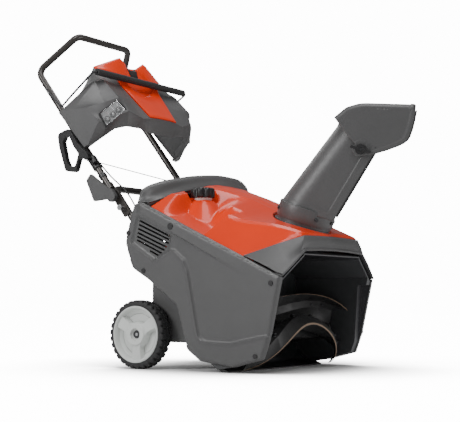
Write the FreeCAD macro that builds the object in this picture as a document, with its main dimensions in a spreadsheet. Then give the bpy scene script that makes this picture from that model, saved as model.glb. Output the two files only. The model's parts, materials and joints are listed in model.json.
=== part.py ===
# A walk-behind single stage snowblower: an open scoop with one auger, a turning chute, a folding
# handle with a light console, and a small engine under a hood.
#
# Frame: millimetres, +Z up, +Y to the operator, so the scoop opens towards -Y and -X is the
# operator's right.  The origin is on the ground, under the middle of the machine's box.
# Heights are above the ground and lengths along Y are measured from the wheel axle, which lies
# at Y = axle_y; every piece is moved there at the end.
import FreeCAD, Part
import os
from math import atan2, cos, pi, radians, sin, tan
from FreeCAD import Placement, Rotation, Vector

doc = FreeCAD.newDocument("SingleStageSnowblower")

# ---------------------------------------------------------------- driving dimensions
SIZES = {
    "axle_y": (144, "wheel axle ahead of or behind the origin"),
    "half_width": (280, "middle plane to a side panel's outer face"),
    "wall": (3, "moulded shell thickness"),
    "panel_depth": (12, "side panel, outer face to the edge of its flange"),
    "wheel_radius": (102, "8 inch wheel"),
    "tyre_width": (44, "tyre section width"),
    "tyre_middle": (256, "middle plane to the middle of a tyre"),
    "rim_radius": (84, "rim, outer edge"),
    "axle_radius": (8, "wheel axle"),
    "running_gap": (0.05, "radial clearance of a turning fit"),
    "auger_y": (-345, "auger axis, from the wheel axle"),
    "auger_z": (114, "auger axis above the ground"),
    "auger_radius": (109, "paddle tip radius"),
    "auger_right": (-256, "right end of the paddles"),
    "auger_left": (226, "left end of the paddles"),
    "shaft_radius": (12.5, "auger shaft"),
    "ring_y": (-421, "chute ring centre, from the wheel axle"),
    "ring_z": (450, "chute ring centre above the ground"),
    "ring_tilt": (20, "chute ring's axis leans to the front, degrees"),
    "ring_radius": (86, "chute collar, outer radius"),
    "chute_turn": (24.5, "chute as stored, turned to the operator's left, degrees"),
    "chute_half": (75, "chute trough, half width"),
    "crank_y": (-108, "crankshaft axis, from the wheel axle"),
    "crank_z": (262, "crankshaft axis above the ground"),
    "belt_x": (252, "middle plane of the belt drive"),
    "auger_pulley_radius": (78, "auger pulley groove radius"),
    "drive_pulley_radius": (32, "engine pulley groove radius"),
    "belt_thick": (8, "belt thickness"),
    "belt_width": (10, "belt width"),
    "tube_radius": (11, "handle tube, outer radius"),
    "tube_half_span": (210, "upper handle tube, off the middle plane"),
    "handle_rake": (51.9, "handle tubes above the horizontal, degrees"),
    "handle_y": (120, "handle line's datum, from the wheel axle"),
    "handle_z": (500, "handle line's datum above the ground"),
    "grip_half_span": (132, "upper handle's end corner, off the middle plane"),
    "fold_pivot": (-15, "fold bolt along the handle line from its datum"),
    "bail_pivot": (500, "bail pivot along the handle line from its datum"),
    "bail_rod_radius": (3.5, "bail rod"),
    "bail_grip_radius": (11, "bail's foam grip"),
    "cap_radius": (38, "fuel cap over its lobes"),
    "cap_x": (-100, "fuel cap off the middle plane"),
    "cap_y": (-116, "fuel cap, from the wheel axle"),
    "cap_z": (514, "fuel cap's lower edge above the ground"),
}
sheet = doc.addObject("Spreadsheet::Sheet", "Sizes")
for row, (alias, (number, meaning)) in enumerate(SIZES.items(), start=1):
    sheet.set(f"A{row}", meaning)
    sheet.set(f"B{row}", str(number))
    sheet.setAlias(f"B{row}", alias)
doc.recompute()


def size(alias):
    return float(sheet.get(alias))


W = size("half_width")
WALL = size("wall")
AUGER = (size("auger_y"), size("auger_z"))
CRANK = (size("crank_y"), size("crank_z"))
pieces = {}


# ---------------------------------------------------------------- making and keeping pieces
def keep(obj, label, x="0", y="0", z="0"):
    """Name a finished piece and put its own origin at x, y, z (formulas, Y from the axle)."""
    obj.Label = label
    obj.setExpression("Placement.Base.x", x)
    obj.setExpression("Placement.Base.y", f"Sizes.axle_y + {y}")
    obj.setExpression("Placement.Base.z", z)
    pieces[label] = obj
    return obj


def keep_shape(shape, label):
    """A piece whose form only Part's own functions make."""
    loose = shape.copy()
    loose.Placement = Placement()
    obj = doc.addObject("Part::Feature", label)
    obj.Shape = loose.transformed(shape.Placement.toMatrix(), copy=True)
    return keep(obj, label)


def side(x):
    return "right" if x < 0 else "left"


def outline(points):
    """Closed outline of lines and corner arcs; a point is (u, v) or (u, v, corner radius)."""
    corners = []
    count = len(points)
    for i, point in enumerate(points):
        here = Vector(point[0], point[1], 0)
        radius = point[2] if len(point) > 2 else 0
        if not radius:
            corners.append((here, None, here))
            continue
        before = Vector(*points[i - 1][:2], 0) - here
        after = Vector(*points[(i + 1) % count][:2], 0) - here
        half = before.getAngle(after) / 2
        reach = radius / tan(half)
        before.normalize()
        after.normalize()
        inward = (before + after).normalize()
        middle = here + inward * (radius / sin(half) - radius)
        corners.append((here + before * reach, middle, here + after * reach))
    edges = []
    for i, (start, middle, end) in enumerate(corners):
        if middle is not None:
            edges.append(Part.Arc(start, middle, end))
        following = corners[(i + 1) % count][0]
        if (following - end).Length > 1e-6:
            edges.append(Part.LineSegment(end, following))
    return edges


def inset(points, distance):
    """The outline moved inwards; corner radii are dropped."""
    flat = [Vector(p[0], p[1], 0) for p in points]
    area = sum(a.x * b.y - b.x * a.y for a, b in zip(flat, flat[1:] + flat[:1]))
    turn = 1 if area > 0 else -1
    moved = []
    for i, here in enumerate(flat):
        into = (here - flat[i - 1]).normalize()
        away = (flat[(i + 1) % len(flat)] - here).normalize()
        normal_in = Vector(-into.y, into.x, 0) * turn
        normal_away = Vector(-away.y, away.x, 0) * turn
        bisector = (normal_in + normal_away).normalize()
        moved.append(here + bisector * (distance / bisector.dot(normal_in)))
    return [(p.x, p.y) for p in moved]


def circle(u, v, radius):
    return [Part.Circle(Vector(u, v, 0), Vector(0, 0, 1), radius)]


def new_body(label):
    return doc.addObject("PartDesign::Body", label + "_body")


def add_sketch(owner, plane, edges, offset="0"):
    """A sketch on one of the body's own origin planes, moved along its normal."""
    sketch = owner.newObject("Sketcher::SketchObject", "Profile")
    support = next(f for f in owner.Origin.OriginFeatures if f.Role == plane)
    sketch.AttachmentSupport = [(support, "")]
    sketch.MapMode = "FlatFace"
    sketch.setExpression("AttachmentOffset.Base.z", offset)
    sketch.addGeometry(edges, False)
    return sketch


def pad(owner, sketch, length, both=False, reverse=False):
    feature = owner.newObject("PartDesign::Pad", "Pad")
    feature.Profile = sketch
    feature.setExpression("Length", length)
    feature.Midplane = both
    feature.Reversed = reverse
    doc.recompute()
    return feature


def pocket(owner, sketch, length, both=False, reverse=False):
    before = owner.Shape.Volume
    feature = owner.newObject("PartDesign::Pocket", "Pocket")
    feature.Profile = sketch
    feature.setExpression("Length", length)
    feature.Midplane = both
    feature.Reversed = reverse
    doc.recompute()
    if not owner.Shape.Volume < before - 1:
        raise RuntimeError(f"{owner.Name}: a pocket cuts nothing")
    return feature


def turned(label, profile, x="0", y="0", z="0"):
    """A solid of revolution about an X axis; the profile is (x, radius)."""
    owner = new_body(label)
    sketch = add_sketch(owner, "XY_Plane", outline(profile))
    feature = owner.newObject("PartDesign::Revolution", "Revolution")
    feature.Profile = sketch
    feature.ReferenceAxis = (sketch, ["H_Axis"])
    feature.Angle = 360
    doc.recompute()
    return keep(owner, label, x, y, z)


def rod(start, end, radius):
    """A plain round bar between two points."""
    along = end - start
    return Part.makeCylinder(radius, along.Length, start, along)


def box(low, high):
    """A block between two opposite corners."""
    return Part.makeBox(high[0] - low[0], high[1] - low[1], high[2] - low[2], Vector(*low))


def fused(shapes):
    return shapes[0].multiFuse(shapes[1:]).removeSplitter() if len(shapes) > 1 else shapes[0]


def group(shapes, label):
    """Identical small pieces that share a node as separate solids."""
    return keep_shape(Part.makeCompound(shapes), label)


def bent_path(points, radius):
    """Straight runs joined by tangent arcs of one bend radius."""
    edges = []
    start = points[0]
    for i in range(1, len(points) - 1):
        before = (points[i - 1] - points[i]).normalize()
        after = (points[i + 1] - points[i]).normalize()
        half = before.getAngle(after) / 2
        reach = radius / tan(half)
        middle = points[i] + (before + after).normalize() * (radius / sin(half) - radius)
        arc_start = points[i] + before * reach
        arc_end = points[i] + after * reach
        edges.append(Part.LineSegment(start, arc_start).toShape())
        edges.append(Part.Arc(arc_start, middle, arc_end).toShape())
        start = arc_end
    edges.append(Part.LineSegment(start, points[-1]).toShape())
    return Part.Wire(edges)


def swept(label, path, radius, x="0"):
    """A round tube or cord made as a parametric sweep, its radius a formula."""
    spine = doc.addObject("Part::Feature", label + "_path")
    spine.Shape = path
    ring = doc.addObject("Part::Circle", label + "_section")
    ring.setExpression("Radius", radius)
    first = path.Edges[0]
    tangent = first.tangentAt(first.FirstParameter)
    turn = Rotation(Vector(0, 0, 1), tangent)
    ring.Placement = Placement(first.valueAt(first.FirstParameter), turn)
    sweep = doc.addObject("Part::Sweep", label + "_sweep")
    sweep.Sections = [ring]
    sweep.Spine = (spine, [f"Edge{n + 1}" for n in range(len(path.Edges))])
    sweep.Solid = True
    sweep.Frenet = False
    doc.recompute()
    return keep(sweep, label, x)


def ruled_solid(sections):
    """A solid through closed polygons that have the same number of corners."""
    wires = [Part.makePolygon(list(section) + [section[0]]) for section in sections]
    return Part.makeLoft(wires, True, True)


def arc_points(centre_u, centre_v, radius, start, end, count):
    """Points on an arc, its angles in degrees."""
    angles = [radians(start + (end - start) * i / (count - 1)) for i in range(count)]
    return [(centre_u + radius * cos(a), centre_v + radius * sin(a)) for a in angles]


# ---------------------------------------------------------------- wheels and axle
def wheels():
    width = size("tyre_width")
    outer = size("wheel_radius")
    rim = size("rim_radius")
    bore = size("axle_radius") + size("running_gap")
    for sign in (-1, 1):
        name = side(sign)
        middle = f"{sign} * Sizes.tyre_middle"
        half = width / 2
        tyre = [(-half, rim + 0.2), (half, rim + 0.2), (half, outer - 6, 4), (half - 8, outer, 5),
                (8 - half, outer, 5), (-half, outer - 6, 4)]
        turned(f"tyre_{name}", tyre, middle, "0", "Sizes.wheel_radius")
        # the rim is a dish with a proud hub; its open side faces outwards
        face = sign * (half + 5)
        back = -sign * half
        dish = sign * (half - 12)
        profile = [(back, bore), (back, rim), (face, rim), (face, rim - 7), (dish, rim - 13),
                   (dish, 34), (face, 30), (face, 16), (face - sign * 16, 16), (face - sign * 16, bore)]
        turned(f"rim_{name}", profile, middle, "0", "Sizes.wheel_radius")
    reach = size("tyre_middle") + width / 2 - 12
    bar = doc.addObject("Part::Cylinder", "axle_bar")
    bar.setExpression("Radius", "Sizes.axle_radius")
    bar.Height = 2 * reach
    bar.Placement.Rotation = Rotation(Vector(0, 1, 0), 90)
    keep(bar, "wheel_axle", f"{-reach}", "0", "Sizes.wheel_radius")
    bolts = []
    for sign in (-1, 1):
        start = Vector(sign * (reach + 0.02), 0, outer)
        seat = Vector(sign * (reach + 1.5), 0, outer)
        bolts.append(fused([rod(start, seat, 7.5), rod(seat, seat + Vector(sign * 6, 0, 0), 12)]))
    group(bolts, "wheel_bolts")


# ---------------------------------------------------------------- scoop
SCOOP_FRONT = [(-500, 262), (-463, 100), (-441, 42)]


def scroll(radius, start, end):
    """The curved back of the scoop, round the auger axis."""
    return arc_points(AUGER[0], AUGER[1], radius, start, end, 9)


def prism(points, plane, start, length):
    """A block with an outline in one of the planes across the machine, grown along its normal."""
    face = Part.Face(Part.Wire([edge.toShape() for edge in outline(points)]))
    block = face.extrude(Vector(0, 0, length))
    if plane == "YZ":
        stand = Rotation(Vector(0, 1, 0), Vector(0, 0, 1), Vector(1, 0, 0), "XYZ")
        return block.transformed(Placement(Vector(start, 0, 0), stand).toMatrix(), copy=True)
    stand = Rotation(Vector(1, 0, 0), Vector(0, 0, 1), Vector(0, -1, 0), "XYZ")
    return block.transformed(Placement(Vector(0, -start, 0), stand).toMatrix(), copy=True)


def scoop_front(half, shoulder, rise):
    """The scoop's section seen from the front: square below, its upper corners cut off."""
    return [(-half, -30), (half, -30), (half, shoulder), (165 - 267 + half, shoulder + rise),
            (165 - 267 + half, 600), (267 - 165 - half, 600), (267 - 165 - half, shoulder + rise),
            (-half, shoulder)]


def auger_housing():
    """A steel tub: two side walls, a curved back, a stepped roof and the chute's duct."""
    clearance = size("auger_radius") + 8
    back_in = scroll(clearance, -62, 28)
    back_out = scroll(clearance + WALL, -62, 28)
    roof_in = [(-246, 428), (-514, 330)]
    roof_out = [(-243, 432), (-514, 334)]
    mouth = [(-500, 262)] + SCOOP_FRONT[1:]
    outer = prism(back_out + roof_out + mouth + [(-344, 16)], "YZ", -267, 534)
    outer = outer.common(prism(scoop_front(267, 256, 74), "XZ", -100, 700))
    hollow = prism([(-290, -20)] + back_in + roof_in + [(-560, 262), (-560, -20)], "YZ", -264, 502)
    hollow = hollow.common(prism(scoop_front(264, 254, 72), "XZ", -100, 700))
    # beside the mouth the left wall stands further out than it does beside the belt drive
    flare = prism([(-560, 20), (-450, 20), (-458, 120), (-468, 250), (-560, 250)], "YZ", 230, 34)
    bay = prism([(-437, 44), (-344, 20), (-270, 20), (-150, 60), (-150, 310), (-246, 290), (-310, 250),
                 (-464, 250)], "YZ", 241, 40)
    tilt = Placement(ring_centre(), Rotation(Vector(1, 0, 0), size("ring_tilt")))
    duct = Part.makeCylinder(81, 95, Vector(0, 0, -122)).transformed(tilt.toMatrix(), copy=True)
    shape = fused([outer, duct]).cut(fused([hollow, flare])).cut(bay)
    way = Part.makeCylinder(78, 200, Vector(0, 0, -124)).transformed(tilt.toMatrix(), copy=True)
    shape = shape.cut(way).cut(rod(Vector(-300, *AUGER), Vector(300, *AUGER), 24.1))
    keep_shape(shape.cut(prism(SCRAPER, "YZ", -263, 526)), "auger_housing")


def ring_centre():
    return Vector(0, size("ring_y"), size("ring_z"))


SCRAPER = [(-322, 0), (-300, 0), (-283, 13), (-283, 18), (-290, 17), (-322, 3)]


def scraper():
    """A replaceable wear strip under the back of the scoop, its lower edge on the ground."""
    owner = new_body("scraper_bar")
    pad(owner, add_sketch(owner, "YZ_Plane", outline(SCRAPER)), "2 * 262", both=True)
    keep(owner, "scraper_bar")
    angle = radians(-48)
    out = Vector(0, cos(angle), sin(angle))
    heads = []
    for x in (-232, 0, 232):
        seat = Vector(x, *AUGER) + out * (size("auger_radius") + 8 + WALL + 0.1)
        heads.append(rod(seat, seat + out * 4, 6))
    group(heads, "scraper_bolts")


# ---------------------------------------------------------------- side panels
PANEL = [(12, 490, 10), (-15, 495, 8), (-503, 266, 4), (-466, 102), (-443, 40, 8), (-344, 15, 60),
         (-232, 30, 30), (-187, 61, 20), (-150, 188, 24), (-43, 264, 10), (18, 299, 30), (44, 374, 40),
         (38, 407, 30)]
GRILLE = [(-9, 435), (-126, 390), (-82, 332), (2, 382)]
PANEL_SCREWS = [(29, 404), (-475, 250), (-424, 49), (-30, 290)]


def side_panels():
    depth = size("panel_depth")
    for sign in (-1, 1):
        owner = new_body("side_panel_" + side(sign))
        inner_face = sign * W - (0 if sign < 0 else depth)
        skin = add_sketch(owner, "YZ_Plane", outline(PANEL), str(inner_face))
        pad(owner, skin, "Sizes.panel_depth")
        tray = add_sketch(owner, "YZ_Plane", outline(inset(PANEL, WALL)),
                          str(inner_face + (WALL if sign < 0 else -WALL)))
        pocket(owner, tray, f"{depth}", reverse=True)
        slots = []
        slope = radians(25)
        for k in range(8):
            middle = Vector(-62 + 4 * k, 430 - 12.5 * k, 0)
            half_length = 58 - 5.5 * k
            run = Vector(cos(slope), sin(slope), 0)
            across = Vector(-sin(slope), cos(slope), 0) * 2.6
            ends = [middle - run * half_length, middle + run * half_length]
            corners = [ends[0] - across, ends[1] - across, ends[1] + across, ends[0] + across]
            slots += outline([(c.x, c.y) for c in corners])
        grille = add_sketch(owner, "YZ_Plane", slots, str(sign * (W + 5) - (0 if sign < 0 else 40)))
        pocket(owner, grille, "40", reverse=True)
        keep(owner, "side_panel_" + side(sign))
    screws = []
    plugs = []
    for sign in (-1, 1):
        for y, z in PANEL_SCREWS:
            face = Vector(sign * (W + 0.1), y, z)
            screws.append(rod(face, face + Vector(sign * 2.5, 0, 0), 7))
        face = Vector(sign * (W + 0.1), -129, 419)
        plugs.append(rod(face, face + Vector(sign * 2, 0, 0), 9))
    group(screws + plugs, "panel_screws")


# ---------------------------------------------------------------- hood, lip and rear shells
def quilt(rows, drop):
    """A thin shell from rows of points joined by flat triangles, thickened along one direction."""
    faces = []
    lower = [[p + drop for p in row] for row in rows]

    def triangle(a, b, c):
        if (b - a).cross(c - a).Length > 1e-6:
            faces.append(Part.Face(Part.makePolygon([a, b, c, a])))

    for grid in (rows, lower):
        for one, two in zip(grid, grid[1:]):
            for i in range(len(one) - 1):
                triangle(one[i], one[i + 1], two[i + 1])
                triangle(one[i], two[i + 1], two[i])
    rims = [(rows[0], lower[0]), (rows[-1], lower[-1])]
    rims += [([r[0] for r in rows], [r[0] for r in lower]), ([r[-1] for r in rows], [r[-1] for r in lower])]
    for top, bottom in rims:
        for i in range(len(top) - 1):
            triangle(top[i], top[i + 1], bottom[i + 1])
            triangle(top[i], bottom[i + 1], bottom[i])
    shell = Part.Shell(faces)
    shell.sewShape()
    solid = Part.Solid(shell)
    if solid.Volume < 0:
        solid.reverse()
    return solid


def mirrored_row(half):
    """A row of points across the machine from its right half, which ends on the middle plane."""
    return half + [Vector(-p.x, p.y, p.z) for p in reversed(half[:-1])]


def hood_rows():
    """Rows across the hood from its front edge back; its left half stands higher than its right."""
    edge = W - 13
    rows = [
        [(-edge, -376, 330), (-215, -450, 362), (-158, -507, 388), (-80, -507, 392), (0, -507, 393),
         (80, -507, 392), (158, -507, 390), (215, -450, 364), (edge, -376, 330)],
        [(-edge, -300, 365), (-224, -330, 398), (-178, -370, 424), (-90, -400, 436), (0, -400, 440),
         (95, -395, 443), (178, -378, 447), (224, -330, 420), (edge, -300, 365)],
        [(-edge, -207, 408), (-235, -205, 440), (-200, -232, 463), (-110, -258, 479), (0, -270, 493),
         (100, -255, 507), (194, -235, 517), (232, -215, 470), (edge, -207, 408)],
        [(-edge, -120, 450), (-215, -124, 461), (-155, -132, 474), (-62, -145, 534), (0, -150, 545),
         (95, -145, 548), (198, -138, 547), (236, -128, 505), (edge, -120, 450)],
        [(-edge, -35, 492), (-215, -44, 507), (-150, -50, 525), (-75, -56, 543), (0, -62, 557),
         (85, -62, 564), (175, -62, 558), (236, -50, 528), (edge, -35, 492)],
    ]
    return [[Vector(*point) for point in row] for row in rows]


def hood():
    """The engine cover's top: a raised middle with sloping sides, from the scoop to the shroud."""
    shell = quilt(hood_rows(), Vector(0, 0, -WALL))
    tilt = Placement(ring_centre(), Rotation(Vector(1, 0, 0), size("ring_tilt")))
    way = Part.makeCylinder(90, 120, Vector(0, 0, -75)).transformed(tilt.toMatrix(), copy=True)
    foot = Vector(size("cap_x"), size("cap_y"), size("cap_z"))
    cap_way = Part.makeCylinder(size("cap_radius") + 4, 80, foot - Vector(0, 0, 40))
    keep_shape(shell.cut(way).cut(cap_way), "hood")


def front_lip():
    """The moulded frame over the scoop's mouth."""
    rows = [
        [Vector(-267, -378, 329), Vector(-216, -452, 361), Vector(-159, -509, 386), Vector(0, -509, 390)],
        [Vector(-267, -502, 274), Vector(-226, -510, 304), Vector(-168, -516, 346), Vector(0, -516, 350)],
    ]
    shell = quilt([mirrored_row(row) for row in rows], Vector(0, 3, -3.5))
    keep_shape(shell, "front_lip")


SHROUD_FRONT = [(-248, 0), (-242, 26), (-218, 46), (-180, 60), (-120, 79), (-60, 95), (0, 107),
                (80, 116), (150, 119), (190, 114), (225, 98), (244, 70), (248, 0)]
SHROUD_STATIONS = [(-66, 1.0), (-25, 1.04), (15, 1.03), (44, 0.9), (60, 0.6)]


def vault(grow):
    """Arched sections of the rear shroud from front to back, each grown by the same amount."""
    sections = []
    for y, share in SHROUD_STATIONS:
        wide = 1 + grow / W
        sections.append([Vector(x * wide, y, 488 + max(0, rise * share + grow)) for x, rise in SHROUD_FRONT])
    sections[0] = [Vector(p.x, p.y - grow, p.z) for p in sections[0]]
    sections[-1] = [Vector(p.x, p.y + grow, p.z) for p in sections[-1]]
    return sections


def rear_shroud():
    outer = ruled_solid(vault(0))
    inner = ruled_solid(vault(-WALL)).translated(Vector(0, 0, -0.5))
    below = quilt(hood_rows(), Vector(0, 0, -90))
    keep_shape(outer.cut(inner).cut(below), "rear_shroud")


LOWER_HALF = 192
REAR_EDGE = [(5, 484), (32, 405), (38, 374), (34, 349), (12, 305), (0, 295)]


def rear_cover():
    """The back wall between the side panels, with a recess for the engine controls."""
    inner = [(u - 3, v) for u, v in reversed(REAR_EDGE)]
    wall = prism(REAR_EDGE + inner, "YZ", 13 - W, 2 * (W - 13))
    ways = [rod(Vector(-150, 0, 372), Vector(-150, 60, 372), 4.3),
            rod(Vector(-100, 0, 372), Vector(-100, 60, 372), 16.6)]
    for x in (-LOWER_HALF, LOWER_HALF):
        ways.append(rod(on_handle(x, -200, 0), on_handle(x, 0, 0), size("tube_radius") + 0.5))
    ways.append(rod(on_handle(-178, -170, 0), on_handle(-178, 0, 24), 6))
    for way in ways:
        wall = wall.cut(way)
    keep_shape(wall, "rear_cover")


IDLER_POST = (-150, 268)


def lower_housing():
    """The narrow tub behind the scoop that carries the engine and the wheel axle."""
    outer = [(-21, 284), (-21, 120, 20), (-60, 79, 10), (-196, 79), (-196, 284)]
    owner = new_body("lower_housing")
    pad(owner, add_sketch(owner, "YZ_Plane", outline(outer)), "2 * 225", both=True)
    inner = [(-24, 320), (-24, 121, 18), (-61, 82, 8), (-193, 82), (-193, 320)]
    pocket(owner, add_sketch(owner, "YZ_Plane", outline(inner)), "2 * 222", both=True)
    stub = add_sketch(owner, "YZ_Plane", circle(*IDLER_POST, 6), "222")
    pad(owner, stub, "18")
    shaft_way = add_sketch(owner, "YZ_Plane", circle(*CRANK, 12), "200")
    pocket(owner, shaft_way, "40", reverse=True)
    keep(owner, "lower_housing")


# ---------------------------------------------------------------- chute
def chute_frame():
    """The turned chute's own frame: X across, -Y to its front, Z along the ring's axis."""
    tilt = Rotation(Vector(1, 0, 0), size("ring_tilt"))
    turn = Rotation(Vector(0, 0, 1), size("chute_turn"))
    return Placement(ring_centre(), tilt.multiply(turn))


def in_chute(shape):
    return shape.transformed(chute_frame().toMatrix(), copy=True)


def chute_ring():
    """A fixed ring on the scoop's roof that the collar turns on."""
    outer = size("ring_radius") - WALL - 1
    ring = Part.makeCylinder(outer, 34, Vector(0, 0, -26))
    flange = Part.makeCylinder(outer + 6, 4, Vector(0, 0, -26))
    hole = Part.makeCylinder(outer - WALL, 60, Vector(0, 0, -40))
    shape = fused([ring, flange]).cut(hole)
    keep_shape(in_chute(shape), "chute_ring")


def trough(half, wall, front_gap, low, high):
    """A U-shaped channel's solid core between two heights, its back rounded."""
    sections = []
    for height in (low, high):
        back = 78 - 0.365 * (height - 40) - wall
        front = -84 - 0.245 * (height - 10) - front_gap
        middle = back - half + wall
        corners = [Vector(half - wall, front, height), Vector(half - wall, middle, height)]
        for u, v in arc_points(0, middle, half - wall, 18, 162, 9):
            corners.append(Vector(u, v, height))
        corners += [Vector(wall - half, middle, height), Vector(wall - half, front, height)]
        sections.append(corners)
    return ruled_solid(sections)


def chute():
    """The collar round the ring and the upright channel, open at its front."""
    radius = size("ring_radius")
    half = size("chute_half")
    collar = Part.makeCylinder(radius, 44, Vector(0, 0, -12))
    channel = trough(half, 0, 0, 20, 320)
    outer = collar.fuse(channel)
    bore = Part.makeCylinder(radius - WALL, 40, Vector(0, 0, -13))
    core = trough(half, WALL, 30, 24, 340)
    above = Part.makeCylinder(radius - WALL - 6, 10, Vector(0, 0, 24))
    slope_cut = Part.makeBox(400, 400, 200, Vector(-200, -300, 0))
    slope_cut = slope_cut.rotated(Vector(), Vector(1, 0, 0), 22).translated(Vector(0, -10, 312))
    stud_way = rod(Vector(-half - 5, -PIVOT[0], PIVOT[1]), Vector(half + 5, -PIVOT[0], PIVOT[1]), 4.25)
    shape = outer.cut(fused([bore, core])).cut(above).cut(slope_cut).cut(stud_way)
    keep_shape(in_chute(shape), "chute")
    heads = []
    for angle in (-62, -20, 20, 62, 160, 200):
        out = Vector(sin(radians(angle)), -cos(radians(angle)), 0)
        foot = out * (radius + 0.1) + Vector(0, 0, 8)
        heads.append(rod(foot, foot + out * 4, 5.5))
    group([in_chute(head) for head in heads], "chute_screws")


DEFLECTOR = [(1, 309, 6), (29, 348, 24), (66, 371, 20), (190, 404, 3), (207, 411, 4), (212, 400, 8),
             (221, 351, 90), (222, 304, 12), (213, 289, 12), (142, 237, 18), (96, 226, 14), (84, 244, 14)]
PIVOT = (103, 243)


def deflector():
    """The tilting cap over the chute: two side walls and a curved top, open at its front."""
    half = size("chute_half") + 4
    shape = Part.Face(Part.Wire([e.toShape() for e in outline(DEFLECTOR)]))
    solid = shape.extrude(Vector(0, 0, 2 * half))
    hollow_points = [(-30, 280), (6, 307), (32, 344), (67, 367.5), (190, 400.5), (260, 405), (260, 180),
                     (84, 180)]
    hollow = Part.Face(Part.makePolygon([Vector(u, v, 0) for u, v in hollow_points + hollow_points[:1]]))
    core = hollow.extrude(Vector(0, 0, 2 * half - 2 * WALL)).translated(Vector(0, 0, WALL))
    shell = solid.cut(core)
    # profile plane (forward, up) becomes (-Y, Z) of the chute's frame
    upright = Rotation(Vector(0, -1, 0), Vector(0, 0, 1), Vector(-1, 0, 0), "XYZ")
    stand = Placement(Vector(half, 0, 0), upright)
    shell = shell.transformed(stand.toMatrix(), copy=True)
    for sign in (-1, 1):
        wall_middle = Vector(sign * half, -PIVOT[0], PIVOT[1])
        ear = rod(wall_middle - Vector(sign * WALL, 0, 0), wall_middle + Vector(sign * 1.2, 0, 0), 26)
        shell = shell.fuse(ear)
        hole = rod(wall_middle - Vector(8, 0, 0), wall_middle + Vector(8, 0, 0), 4.55)
        shell = shell.cut(hole)
    keep_shape(in_chute(shell), "deflector")
    for sign in (-1, 1):
        out = Vector(sign, 0, 0)
        base = Vector(sign * (half + 1.6), -PIVOT[0], PIVOT[1])
        boss = rod(base, base + out * 9, 15)
        wing = box((-3, -30, -4), (3, 30, 4))
        wing = wing.translated(base + out * 9)
        bore = rod(base - out, base + out * 20, 4.3)
        keep_shape(in_chute(fused([boss, wing]).cut(bore)), "deflector_knob_" + side(sign))
    studs = []
    for sign in (-1, 1):
        inner = Vector(sign * (size("chute_half") - 7), -PIVOT[0], PIVOT[1])
        outer = Vector(sign * (half + 12), -PIVOT[0], PIVOT[1])
        studs.append(rod(inner, outer, 4.25))
    group([in_chute(stud) for stud in studs], "deflector_studs")


# ---------------------------------------------------------------- auger
def auger_angle(x):
    """Angle of a paddle's tip line at x: level in the middle, trailing towards both ends."""
    middle = (size("auger_left") + size("auger_right")) / 2
    span = (size("auger_left") - size("auger_right")) / 2
    return radians(169 + 88 * ((x - middle) / span) ** 2)


def paddle_section(x, turn, front):
    """One edge curve of a paddle at x, from its root to its tip."""
    tip = size("auger_radius")
    root = 28.5
    points = []
    for i in range(5):
        t = i / 4
        radius = root + (tip - root) * t
        lean = radians(-26) * sin(pi * t)
        angle = auger_angle(x) + turn + lean
        here = Vector(x, AUGER[0] + radius * cos(angle), AUGER[1] + radius * sin(angle))
        across = Vector(0, -sin(angle), cos(angle))
        points.append(here + across * front)
    return points


def auger():
    """A shaft with two spiral rubber paddles on bent steel backing strips."""
    radius = size("shaft_radius")
    keep_shape(rod(Vector(-262, *AUGER), Vector(263, *AUGER), radius), "auger_shaft")
    left = size("auger_left")
    right = size("auger_right")
    stations = [right + (left - right) * i / 12 for i in range(13)]
    for turn, name in ((0, "a"), (radians(-110), "b")):
        sections = []
        for x in stations:
            sections.append(paddle_section(x, turn, -2.5) + list(reversed(paddle_section(x, turn, 2.5))))
        keep_shape(ruled_solid(sections), f"paddle_{name}")
    # the carrier is a drum between the shaft and the paddle roots
    hub = rod(Vector(right, *AUGER), Vector(left, *AUGER), 29.5).cut(
        rod(Vector(right - 1, *AUGER), Vector(left + 1, *AUGER), radius + 0.02))
    keep_shape(hub, "auger_carrier")
    ring = []
    for x in (-266, 236.6):
        ring.append(rod(Vector(x, *AUGER), Vector(x + 6, *AUGER), 24).cut(
            rod(Vector(x - 1, *AUGER), Vector(x + 7, *AUGER), radius + size("running_gap"))))
    group(ring, "auger_bearings")


# ---------------------------------------------------------------- belt drive and engine
def pulley_profile(groove, bore, half):
    lip = groove + size("belt_thick") + 2
    floor = groove - 0.4
    return [(-half - 2, bore), (-half - 2, lip), (-half, lip), (-half + 1, floor), (half - 1, floor),
            (half, lip), (half + 2, lip), (half + 2, bore)]


def belt_loop(offset):
    """The belt's line round both pulleys, moved outwards."""
    big = size("auger_pulley_radius") + offset
    small = size("drive_pulley_radius") + offset
    reach = Vector(CRANK[0] - AUGER[0], CRANK[1] - AUGER[1], 0)
    lean = atan2(reach.y, reach.x)
    side_angle = radians(90) - (big - small) / reach.Length
    points = []
    for sign in (1, -1):
        angle = lean + sign * side_angle
        points.append((Vector(AUGER[0] + big * cos(angle), AUGER[1] + big * sin(angle), 0),
                       Vector(CRANK[0] + small * cos(angle), CRANK[1] + small * sin(angle), 0)))
    far_big = Vector(AUGER[0] - big * cos(lean), AUGER[1] - big * sin(lean), 0)
    far_small = Vector(CRANK[0] + small * cos(lean), CRANK[1] + small * sin(lean), 0)
    edges = [Part.LineSegment(*points[0]), Part.Arc(points[0][1], far_small, points[1][1]),
             Part.LineSegment(points[1][1], points[1][0]), Part.Arc(points[1][0], far_big, points[0][0])]
    return Part.Wire([e.toShape() for e in edges])


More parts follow.
